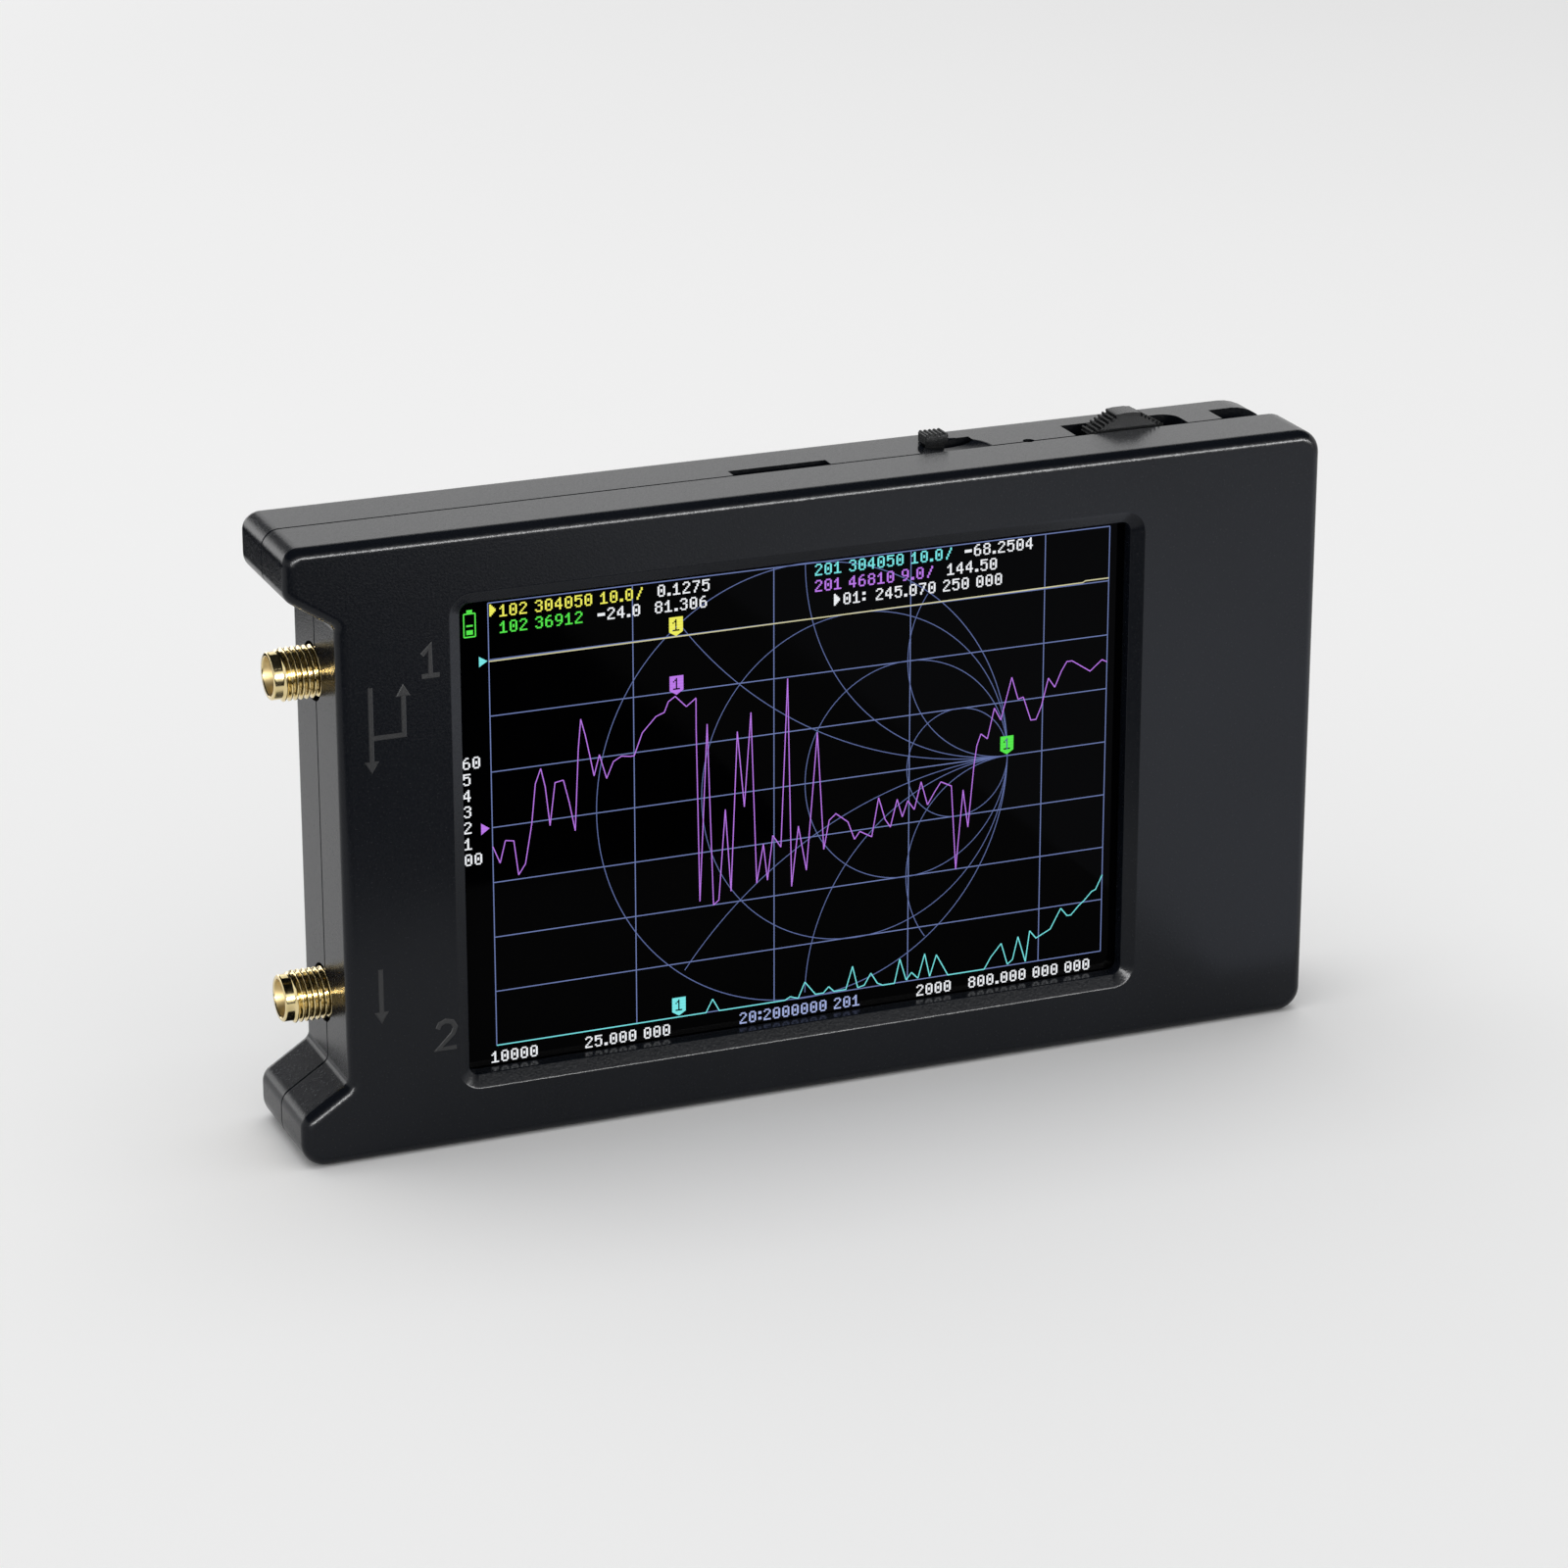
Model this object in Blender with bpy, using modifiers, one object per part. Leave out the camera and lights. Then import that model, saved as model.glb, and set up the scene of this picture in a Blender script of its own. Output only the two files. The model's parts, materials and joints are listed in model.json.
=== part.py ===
"""Hand-held two-port antenna analyzer, modelled for Blender 4.5 in metres with +Z up.

The case stands on its long bottom edge with the screen facing -Y and the two ports facing -X.
The origin lies under the middle of the case, on the surface that it stands on.
"""

import math

import bmesh
import bpy
from mathutils import Matrix, Vector

# Driving dimensions of the case
CASE_WIDTH = 0.1330
CASE_HEIGHT = 0.0770
CASE_DEPTH = 0.0184
FRONT_HALF_DEPTH = 0.0090
WALL = 0.0020
FRONT_WALL = 0.0025
BACK_WALL = 0.0020
RIGHT_CORNER_RADIUS = 0.0030
LEFT_CORNER_RADIUS = 0.0022
STRAP_CORNER_RADIUS = 0.0060
FRONT_EDGE_RADIUS = 0.0014
BACK_EDGE_RADIUS = 0.0020

# Clearances: one between pieces that touch, one for pieces that slide
GAP = 0.0003
RUNNING_GAP = 0.0004
OVERRUN = 0.0010

# The two horns beside the ports, and the recess between them. The horns' tips are rounder
# than the back edge, which follows them without crossing itself.
RECESS_DEPTH = 0.0060
HORN_TIP = 0.0061
HORN_ROOT = 0.0100
HORN_RADIUS = 0.0022
ROOT_RADIUS = 0.0012

# The tongue of the rear shell that closes the seam from inside
LIP_HEIGHT = 0.0015
LIP_THICKNESS = 0.0008

# Borders of the case round the screen window, and the window's sloped frame
LEFT_BORDER = 0.0212
RIGHT_BORDER = 0.0255
BOTTOM_BORDER = 0.0086
TOP_BORDER = 0.0091
WINDOW_RADIUS = 0.0012
WINDOW_SLOPE_WIDTH = 0.0015
WINDOW_SLOPE_DEPTH = 0.0009

# Screen behind the window, and its ribbon
PANEL_MARGIN = 0.0020
PANEL_THICKNESS = 0.0011
DISPLAY_MARGIN = 0.0030
DISPLAY_THICKNESS = 0.0026
DISPLAY_CORNER = 0.0008
RIBBON_WIDTH = 0.0205
RIBBON_THICKNESS = 0.0003
RIBBON_BELOW_SOCKET = 0.0105
RIBBON_TURN_INSET = 0.0035
RIBBON_LENGTH = 0.0110
RIBBON_TAIL = 0.0040
RIBBON_PLUG_DEPTH = 0.0050
RIBBON_PLUG_HEIGHT = 0.0012

# Battery in the room between the display, the board, the ports, the ribbon and the card
CELL_LEFT_MARGIN = 0.0088
CELL_RIGHT_MARGIN = 0.0097
CELL_BOTTOM = 0.0130
CELL_TOP_MARGIN = 0.0039
CELL_CORNER = 0.0012
PAD_THICKNESS = 0.0003
PAD_MARGIN = 0.0060
SOCKET_GAP = 0.0075
SOCKET_WIDTH = 0.0060
SOCKET_HEIGHT = 0.0050
SOCKET_DEPTH = 0.0030
LEAD_RADIUS = 0.00055
LEAD_SPACING = 0.0020
LEAD_BOW = 0.0009

# Circuit board
BOARD_BEHIND_SEAM = 0.0020
BOARD_THICKNESS = 0.0016
BOARD_MARGIN = 0.0006

# Case screws and their bosses, as distances from the nearest walls and edges
SCREW_WALL_CLEARANCE = 0.0016
SCREW_SIDE_RIGHT = 0.0060
SCREW_LOW = 0.0066
SCREW_HIGH_LEFT = 0.0066
SCREW_HIGH_RIGHT = 0.0170
BOSS_RADIUS = 0.0029
SCREW_RADIUS = 0.0010
SCREW_LENGTH = 0.0100
SCREW_HEAD_RADIUS = 0.0019
SCREW_HEAD_HEIGHT = 0.0010
COUNTERBORE_DEPTH = 0.0016
SCREW_DRIVE_WIDTH = 0.0005
SCREW_DRIVE_SPAN = 0.0022
SCREW_DRIVE_DEPTH = 0.0007
BOSS_HOLE_DEPTH = 0.0062

# Coaxial ports with a quarter-inch thread of 36 turns an inch
PORT_INSET = 0.0182
PORT_END = 0.0006
THREAD_RADIUS = 0.003175
THREAD_DEPTH = 0.00042
THREAD_PITCH = 0.000706
THREAD_TURNS = 7
PORT_LEAD_RADIUS = 0.00285
PORT_BORE_RADIUS = 0.0023
FLANGE_SIDE = 0.0070
FLANGE_THICKNESS = 0.0016
LEG_LENGTH = 0.0042
LEG_SIDE = 0.0010
INSULATOR_RECESS = 0.0019
CONTACT_RADIUS = 0.00064
CONTACT_BORE_RADIUS = 0.00046
CONTACT_BORE_DEPTH = 0.0030
CONTACT_RECESS = 0.0022
PIN_RADIUS = 0.0004
PIN_LENGTH = 0.0034

# Memory card socket and its slot at the seam. This and the controls are placed from the
# right side of the case
CARD_SLOT_PLACE = 0.0743
CARD_SLOT_WIDTH = 0.0126
CARD_SLOT_DEPTH = 0.0020
CARD_SOCKET_MARGIN = 0.0010
CARD_SOCKET_HEIGHT = 0.0148
CARD_SOCKET_DEPTH = 0.0015
CARD_SOCKET_WALL = 0.0003

# Slide power switch
KNOB_PLACE = 0.0481
KNOB_WIDTH = 0.0030
KNOB_DEPTH = 0.0024
KNOB_RISE = 0.0014
KNOB_BEHIND_BOARD_FACE = 0.0020
KNOB_TRAVEL = 0.0034
KNOB_RIBS = 5
KNOB_RIB_DEPTH = 0.00025
KNOB_SKIRT = 0.0010
STEM_WIDTH = 0.0018
STEM_DEPTH = 0.0014
STEM_PLUNGE = 0.0016
SWITCH_WIDTH = 0.0100
SWITCH_DEPTH = 0.0030
SWITCH_HEIGHT = 0.0036
WELL_OFFSET = 0.0025
WELL_HALF_WIDTH = 0.0042
WELL_REACH = 0.0054
WELL_SINK = 0.0009

# Status light hole at the seam
LIGHT_PLACE = 0.0355
LIGHT_HOLE_RADIUS = 0.0006
LIGHT_OFFSET = 0.0003
LIGHT_WIDTH = 0.0016
LIGHT_HEIGHT = 0.0020
LIGHT_DEPTH = 0.0012

# Jog switch: a ribbed rocker on a plunger. Crest shares are of its half width and rise,
# rib shares are of a rib's pitch and depth
JOG_PLACE = 0.0217
JOG_SLOT_LEFT_HALF = 0.0075
JOG_SLOT_RIGHT_HALF = 0.0078
JOG_SLOT_MARGIN = 0.0004
JOG_SLOT_CORNER = 0.0022
JOG_HALF_WIDTH = 0.0048
JOG_RISE = 0.0020
JOG_SINK = 0.0008
JOG_THICKNESS = 0.0038
JOG_BEHIND_SEAM = 0.0005
JOG_CREST_SHARES = ((1.0, 0.0), (0.5, 0.7), (0.1, 1.0))
JOG_RIBS = 14
JOG_RIB_DEPTH = 0.00035
JOG_RIB_SHARES = ((0.0, 0.0), (0.2, 1.0), (0.6, 1.0), (0.8, 0.0))
JOG_PIVOT_DROP = 0.0047
JOG_HUB_RADIUS = 0.0010
JOG_NECK_HALF_WIDTH = 0.0008
JOG_AXLE_RADIUS = 0.0005
JOG_CHEEK_THICKNESS = 0.0007
JOG_CHEEK_HALF_WIDTH = 0.0016
JOG_PLUNGER_BASE = 0.0006
JOG_STEM_HALF_WIDTH = 0.0017
JOG_STEM_LENGTH = 0.0024
JOG_PUSH = 0.0008
JOG_BODY_WIDTH = 0.0124
JOG_BODY_HEIGHT = 0.0042
JOG_BODY_DEPTH = 0.0060

# Charging socket in the right wall
USB_HEIGHT = 0.0300
USB_WIDTH = 0.0089
USB_DEPTH = 0.0031
USB_LENGTH = 0.0073
USB_SHELL = 0.0003
USB_INSET = 0.0004
USB_TONGUE_WIDTH = 0.0062
USB_TONGUE_THICKNESS = 0.0007
USB_TONGUE_RECESS = 0.0010

# Strap notch in the top right corner of the rear shell
NOTCH_SPAN = 0.0092
NOTCH_DEPTH = 0.0041
NOTCH_WALL = 0.0015
STRAP_POST_INSET = 0.0046
STRAP_POST_RADIUS = 0.0019

# Shield can behind the board
SHIELD_CLEARANCE = 0.0019
SHIELD_MARGIN = 0.0062
SHIELD_WIDTH = 0.0220
SHIELD_DEPTH = 0.0026
SHIELD_WALL = 0.0004

# Chips as width, height and thickness, with offsets from the middle of the board, or of the
# shield can for the chips under it, or from a port's height for the two port mixers
CHIP_SIZES = {
    "synthesizer_chip": (0.0050, 0.0050, 0.0011),
    "reference_mixer": (0.0050, 0.0040, 0.0014),
    "reflection_mixer": (0.0050, 0.0040, 0.0014),
    "transmission_mixer": (0.0050, 0.0040, 0.0014),
    "codec_chip": (0.0070, 0.0070, 0.0011),
    "processor_chip": (0.0100, 0.0100, 0.0014),
    "charger_chip": (0.0050, 0.0060, 0.0014),
    "clock_crystal": (0.0050, 0.0032, 0.0012),
}
CHIP_OFFSETS = {
    "synthesizer_chip": (-0.0055, 0),
    "reference_mixer": (0.0055, -0.0005),
    "reflection_mixer": (-0.0055, -0.0008),
    "transmission_mixer": (-0.0055, 0.0008),
    "codec_chip": (-0.0110, 0.0070),
    "processor_chip": (0.0045, 0.0005),
    "charger_chip": (0.0440, -0.0085),
    "clock_crystal": (-0.0100, -0.0069),
}

# Number of straight steps in arcs and round pieces
CORNER_STEPS = 5
EDGE_STEPS = 3
ROUND_STEPS = 24
SMALL_ROUND_STEPS = 16

# Places that follow from the sizes above
LEFT = -CASE_WIDTH / 2
RIGHT = CASE_WIDTH / 2
TOP = CASE_HEIGHT
FRONT = -CASE_DEPTH / 2
BACK = CASE_DEPTH / 2
SEAM = FRONT + FRONT_HALF_DEPTH
FRONT_RIM = SEAM - GAP / 2
REAR_RIM = SEAM + GAP / 2
WINDOW_WIDTH = CASE_WIDTH - LEFT_BORDER - RIGHT_BORDER
WINDOW_HEIGHT = CASE_HEIGHT - BOTTOM_BORDER - TOP_BORDER
WINDOW_LEFT = LEFT + LEFT_BORDER
WINDOW_RIGHT = RIGHT - RIGHT_BORDER
DISPLAY_RIGHT = WINDOW_RIGHT + DISPLAY_MARGIN
PANEL_FRONT = FRONT + FRONT_WALL + GAP
PANEL_BACK = PANEL_FRONT + PANEL_THICKNESS
DISPLAY_FRONT = PANEL_BACK + GAP
DISPLAY_BACK = DISPLAY_FRONT + DISPLAY_THICKNESS
PAD_BACK = DISPLAY_BACK + GAP + PAD_THICKNESS
BOARD_FACE = SEAM + BOARD_BEHIND_SEAM
BOARD_REAR = BOARD_FACE + BOARD_THICKNESS
RECESS_WALL = LEFT + RECESS_DEPTH
FLANGE_FACE = RECESS_WALL + WALL + GAP
FLANGE_BACK = FLANGE_FACE + FLANGE_THICKNESS
PORT_AXIS = BOARD_FACE - GAP - PIN_RADIUS
PORT_HEIGHTS = (TOP - PORT_INSET, PORT_INSET)
CARD_SLOT_LEFT = RIGHT - CARD_SLOT_PLACE
CARD_SOCKET_TOP = TOP - WALL - GAP
CARD_SOCKET_BOTTOM = CARD_SOCKET_TOP - CARD_SOCKET_HEIGHT
KNOB_LEFT = RIGHT - KNOB_PLACE
KNOB_MIDDLE = BOARD_FACE + KNOB_BEHIND_BOARD_FACE
LIGHT_MIDDLE = RIGHT - LIGHT_PLACE
PIVOT_HEIGHT = TOP - JOG_PIVOT_DROP
JOG_CENTRE = RIGHT - JOG_PLACE
JOG_FRONT = SEAM + JOG_BEHIND_SEAM
JOG_BACK = JOG_FRONT + JOG_THICKNESS
JOG_MIDDLE = (JOG_FRONT + JOG_BACK) / 2
NOTCH_BACK = SEAM + NOTCH_DEPTH
RIBBON_TURN = DISPLAY_RIGHT - RIBBON_TURN_INSET
RIBBON_PLUG_RIGHT = RIBBON_TURN - RIBBON_TAIL - GAP
RIBBON_PLUG_LEFT = RIBBON_PLUG_RIGHT - RIBBON_PLUG_DEPTH
CELL_LEFT = WINDOW_LEFT + CELL_LEFT_MARGIN
CELL_WIDTH = RIBBON_PLUG_LEFT - CELL_RIGHT_MARGIN - CELL_LEFT
CELL_TOP = CARD_SOCKET_BOTTOM - CELL_TOP_MARGIN
CELL_HEIGHT = CELL_TOP - CELL_BOTTOM
CELL_FRONT = PAD_BACK + GAP
CELL_BACK = BOARD_FACE - GAP
RIBBON_BOTTOM = CELL_TOP - SOCKET_HEIGHT - RIBBON_BELOW_SOCKET - RIBBON_WIDTH
SCREW_LEFT = RECESS_WALL + WALL + SCREW_WALL_CLEARANCE + BOSS_RADIUS
SCREW_RIGHT = RIGHT - SCREW_SIDE_RIGHT
SCREW_PLACES = (
    (SCREW_LEFT, SCREW_LOW),
    (SCREW_RIGHT, SCREW_LOW),
    (SCREW_RIGHT, TOP - SCREW_HIGH_RIGHT),
    (SCREW_LEFT, TOP - SCREW_HIGH_LEFT),
)


def clear_scene():
    """Removes what the startup scene holds."""
    for obj in list(bpy.data.objects):
        bpy.data.objects.remove(obj)


def new_collection(name):
    collection = bpy.data.collections.new(name)
    bpy.context.scene.collection.children.link(collection)
    return collection


def add_object(name, mesh, helper=False):
    """Links a mesh as a part, or as a hidden helper that only cuts or joins."""
    obj = bpy.data.objects.new(name, mesh)
    (HELPERS if helper else PARTS).objects.link(obj)
    if helper:
        obj.hide_render = True
        obj.display_type = "WIRE"
    return obj


def finish_mesh(name, bm):
    bmesh.ops.recalc_face_normals(bm, faces=bm.faces)
    mesh = bpy.data.meshes.new(name)
    bm.to_mesh(mesh)
    bm.free()
    return mesh


def box(name, low, high, helper=False):
    """A block between two corners, with its origin at its middle."""
    low, high = Vector(low), Vector(high)
    bm = bmesh.new()
    bmesh.ops.create_cube(bm, size=1)
    bmesh.ops.scale(bm, vec=high - low, verts=bm.verts)
    obj = add_object(name, finish_mesh(name, bm), helper)
    obj.location = (low + high) / 2
    return obj


def drum(name, centre, axis, radius, length, steps=ROUND_STEPS, helper=False):
    """A round bar of the given length, centred on a point."""
    bm = bmesh.new()
    bmesh.ops.create_cone(
        bm, cap_ends=True, segments=steps, radius1=radius, radius2=radius, depth=length
    )
    obj = add_object(name, finish_mesh(name, bm), helper)
    obj.location = centre
    obj.rotation_euler = {"X": (0, math.pi / 2, 0), "Y": (math.pi / 2, 0, 0), "Z": (0, 0, 0)}[axis]
    return obj


def slab(name, outlines, front, back, helper=False):
    """A flat outline in the XZ plane, with any holes after it, filled between two depths."""
    curve = bpy.data.curves.new(name, "CURVE")
    curve.dimensions = "2D"
    curve.fill_mode = "BOTH"
    curve.extrude = (back - front) / 2
    for outline in outlines:
        spline = curve.splines.new("POLY")
        spline.points.add(len(outline) - 1)
        for point, (x, z) in zip(spline.points, outline):
            point.co = (x, z, 0, 1)
        spline.use_cyclic_u = True
    drawn = bpy.data.objects.new(name, curve)
    bpy.context.scene.collection.objects.link(drawn)
    drawn.location = (0, (front + back) / 2, 0)
    drawn.rotation_euler = (math.pi / 2, 0, 0)
    graph = bpy.context.evaluated_depsgraph_get()
    mesh = bpy.data.meshes.new_from_object(drawn.evaluated_get(graph))
    place = drawn.matrix_world.copy()
    bpy.data.objects.remove(drawn)
    bm = bmesh.new()
    bm.from_mesh(mesh)
    bmesh.ops.remove_doubles(bm, verts=bm.verts, dist=GAP / 300)
    bmesh.ops.dissolve_limit(bm, angle_limit=math.radians(0.05), verts=bm.verts, edges=bm.edges)
    bmesh.ops.recalc_face_normals(bm, faces=bm.faces)
    bm.to_mesh(mesh)
    bm.free()
    mesh.name = name
    mesh.shade_flat()
    obj = add_object(name, mesh, helper)
    obj.matrix_world = place
    return obj


def turned(name, profile, centre, direction, steps=ROUND_STEPS):
    """A profile of radius and length pairs, turned about an axis that points along -X or +Y."""
    mesh = bpy.data.meshes.new(name)
    edges = [(i, i + 1) for i in range(len(profile) - 1)]
    mesh.from_pydata([(radius, 0, length) for radius, length in profile], edges, [])
    obj = add_object(name, mesh)
    obj.location = centre
    obj.rotation_euler = {"-X": (0, -math.pi / 2, 0), "+Y": (-math.pi / 2, 0, 0)}[direction]
    screw = obj.modifiers.new("Turn", "SCREW")
    screw.steps = steps
    screw.render_steps = steps
    screw.use_merge_vertices = True
    screw.merge_threshold = 0.00001
    screw.use_smooth_shade = True
    return obj


def boolean(obj, operation, others):
    for other in others:
        modifier = obj.modifiers.new(operation.title() + " " + other.name, "BOOLEAN")
        modifier.operation = operation
        modifier.solver = "EXACT"
        modifier.object = other
    return obj


def cut(obj, *cutters):
    return boolean(obj, "DIFFERENCE", cutters)


def join(obj, *pieces):
    return boolean(obj, "UNION", pieces)


def round_edges(obj, width, steps, chosen):
    """Rounds the edges whose two ends both pass the test, given in world space."""
    bm = bmesh.new()
    bm.from_mesh(obj.data)
    weight = bm.edges.layers.float.new("bevel_weight_edge")
    for edge in bm.edges:
        ends = [obj.matrix_basis @ vertex.co for vertex in edge.verts]
        edge[weight] = 1.0 if all(chosen(end) for end in ends) else 0.0
    bm.to_mesh(obj.data)
    bm.free()
    bevel = obj.modifiers.new("Rounded edges", "BEVEL")
    bevel.limit_method = "WEIGHT"
    bevel.width = width
    bevel.segments = steps
    bevel.use_clamp_overlap = False
    return obj


def inset(points, distance):
    """Moves each side of a counterclockwise polygon inwards by the same distance."""
    moved = []
    count = len(points)
    for i in range(count):
        before, here, after = (Vector(points[(i + k) % count]) for k in (-1, 0, 1))
        along = (here - before).normalized()
        onward = (after - here).normalized()
        normal = Vector((-along.y, along.x))
        next_normal = Vector((-onward.y, onward.x))
        share = (1 + normal.dot(next_normal))
        moved.append(here + (normal + next_normal) * (distance / share))
    return [tuple(point) for point in moved]


def rounded(points, radii, steps=CORNER_STEPS):
    """Replaces each corner of a polygon by an arc of its own radius."""
    outline = []
    count = len(points)
    for i in range(count):
        before, here, after = (Vector(points[(i + k) % count]) for k in (-1, 0, 1))
        arriving = (here - before).normalized()
        leaving = (after - here).normalized()
        turn = arriving.angle_signed(leaving)
        radius = radii[i]
        if radius <= 0:
            outline.append(tuple(here))
            continue
        start = here - arriving * radius * math.tan(abs(turn) / 2)
        side = Vector((-arriving.y, arriving.x)) * (-1 if turn > 0 else 1)
        centre = start + side * radius
        arc_steps = max(2, round(steps * abs(turn) / (math.pi / 2)))
        for step in range(arc_steps + 1):
            spoke = Matrix.Rotation(-turn * step / arc_steps, 2) @ (start - centre)
            outline.append(tuple(centre + spoke))
    return outline


def rectangle(left, bottom, width, height, radius, steps=CORNER_STEPS):
    corners = [
        (left, bottom),
        (left + width, bottom),
        (left + width, bottom + height),
        (left, bottom + height),
    ]
    return rounded(corners, [radius] * len(corners), steps)


def case_outline(distance=0.0, strap_radius=RIGHT_CORNER_RADIUS):
    """The outline of the case, moved inwards by a distance."""
    corners = [
        (LEFT, 0),
        (RIGHT, 0),
        (RIGHT, TOP),
        (LEFT, TOP),
        (LEFT, TOP - HORN_TIP),
        (RECESS_WALL, TOP - HORN_ROOT),
        (RECESS_WALL, HORN_ROOT),
        (LEFT, HORN_TIP),
    ]
    right = max(RIGHT_CORNER_RADIUS - distance, 0)
    left = max(LEFT_CORNER_RADIUS - distance, 0)
    tip = max(HORN_RADIUS - distance, 0)
    root = ROOT_RADIUS + distance
    strap = max(strap_radius - distance, 0)
    radii = [left, right, strap, left, tip, root, root, tip]
    return rounded(inset(corners, distance), radii)


def material(name, colour, roughness, metallic=0.0, alpha=1.0):
    """A plain finish that is made once and shared by name."""
    if name in bpy.data.materials:
        return bpy.data.materials[name]
    made = bpy.data.materials.new(name)
    made.use_nodes = True
    shader = made.node_tree.nodes["Principled BSDF"]
    shader.inputs["Base Color"].default_value = (*colour, 1.0)
    shader.inputs["Roughness"].default_value = roughness
    shader.inputs["Metallic"].default_value = metallic
    shader.inputs["Alpha"].default_value = alpha
    return made


def paint(obj, finish):
    obj.data.materials.clear()
    obj.data.materials.append(finish)
    return obj


def black_plastic():
    return material("black_plastic", (0.022, 0.024, 0.028), 0.48)


def key_plastic():
    return material("key_plastic", (0.016, 0.018, 0.021), 0.55)


def screen_glass():
    return material("screen_glass", (0.004, 0.004, 0.005), 0.06)


def gold_plate():
    return material("gold_plate", (0.87, 0.62, 0.24), 0.16, 1.0)


def white_insulator():
    return material("white_insulator", (0.82, 0.80, 0.74), 0.45)


def tinned_steel():
    return material("tinned_steel", (0.62, 0.62, 0.60), 0.30, 1.0)


def board_laminate():
    return material("board_laminate", (0.010, 0.030, 0.022), 0.40)


def chip_resin():
    return material("chip_resin", (0.018, 0.018, 0.020), 0.60)


def cell_foil():
    return material("cell_foil", (0.55, 0.56, 0.58), 0.35, 0.8)


def ribbon_film():
    return material("ribbon_film", (0.45, 0.20, 0.05), 0.40)


def foam():
    return material("foam", (0.03, 0.03, 0.03), 0.95)


def red_cover():
    return material("red_cover", (0.55, 0.02, 0.02), 0.45)


def black_cover():
    return material("black_cover", (0.02, 0.02, 0.02), 0.45)


def ivory_plastic():
    return material("ivory_plastic", (0.72, 0.68, 0.55), 0.50)


def black_screw_steel():
    return material("black_screw_steel", (0.04, 0.04, 0.045), 0.35, 1.0)


def light_lens():
    return material("light_lens", (0.75, 0.80, 0.78), 0.20)


def window_cutter():
    """The sloped frame of the screen window, wide at the front face and straight behind."""
    inner = rectangle(WINDOW_LEFT, BOTTOM_BORDER, WINDOW_WIDTH, WINDOW_HEIGHT, WINDOW_RADIUS)
    outer = rectangle(
        WINDOW_LEFT - WINDOW_SLOPE_WIDTH,
        BOTTOM_BORDER - WINDOW_SLOPE_WIDTH,
        WINDOW_WIDTH + 2 * WINDOW_SLOPE_WIDTH,
        WINDOW_HEIGHT + 2 * WINDOW_SLOPE_WIDTH,
        WINDOW_RADIUS + WINDOW_SLOPE_WIDTH,
    )
    levels = (
        (outer, FRONT - OVERRUN),
        (outer, FRONT),
        (inner, FRONT + WINDOW_SLOPE_DEPTH),
        (inner, FRONT + FRONT_WALL + OVERRUN),
    )
    bm = bmesh.new()
    rings = [[bm.verts.new((x, depth, z)) for x, z in ring] for ring, depth in levels]
    for near, far in zip(rings, rings[1:]):
        for i in range(len(near)):
            k = (i + 1) % len(near)
            bm.faces.new((near[i], near[k], far[k], far[i]))
    bm.faces.new(rings[0])
    bm.faces.new(rings[-1])
    return add_object("window_cutter", finish_mesh("window_cutter", bm), helper=True)


def port_hole_cutters():
    """Round holes in the recess wall, clear of the thread by the running gap."""
    length = WALL + 2 * OVERRUN
    middle = RECESS_WALL + WALL / 2
    radius = THREAD_RADIUS + RUNNING_GAP
    return [
        drum(f"port_{i}_hole", (middle, PORT_AXIS, height), "X", radius, length, helper=True)
        for i, height in enumerate(PORT_HEIGHTS, 1)
    ]


def usb_outline(grow):
    """The rounded mouth of the charging socket, seen along X, as depth and height pairs."""
    depth = USB_DEPTH + 2 * grow
    width = USB_WIDTH + 2 * grow
    middle = BOARD_FACE - GAP - USB_DEPTH / 2
    low = USB_HEIGHT - width / 2
    return rectangle(middle - depth / 2, low, depth, width, depth / 2 - GAP / 10)


def along_x(name, outline, start, end, helper=False):
    """An outline of depth and height pairs, filled between two places along X."""
    flipped = [(-depth, height) for depth, height in outline]
    obj = slab(name, [flipped], start, end, helper)
    obj.matrix_world = Matrix.Rotation(-math.pi / 2, 4, "Z") @ obj.matrix_world
    return obj


def usb_hole_cutter():
    return along_x(
        "usb_hole", usb_outline(RUNNING_GAP), RIGHT - WALL - OVERRUN, RIGHT + OVERRUN, helper=True
    )


def light_hole_cutter():
    centre = (LIGHT_MIDDLE, SEAM + LIGHT_OFFSET, TOP - WALL / 2)
    length = WALL + 2 * OVERRUN
    return drum("light_hole", centre, "Z", LIGHT_HOLE_RADIUS, length, SMALL_ROUND_STEPS, helper=True)


def corner_block(name, radius, front, back):
    """Fills the top right corner behind the strap notch, out to the middle of the walls."""
    low_x = RIGHT - NOTCH_SPAN - NOTCH_WALL
    low_z = TOP - NOTCH_SPAN - NOTCH_WALL
    high_x = RIGHT - WALL / 2
    high_z = TOP - WALL / 2
    corners = [(low_x, low_z), (high_x, low_z), (high_x, high_z), (low_x, high_z)]
    outline = rounded(corners, [0, 0, radius - WALL / 2, 0])
    return slab(name, [outline], front, back, helper=True)


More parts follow.
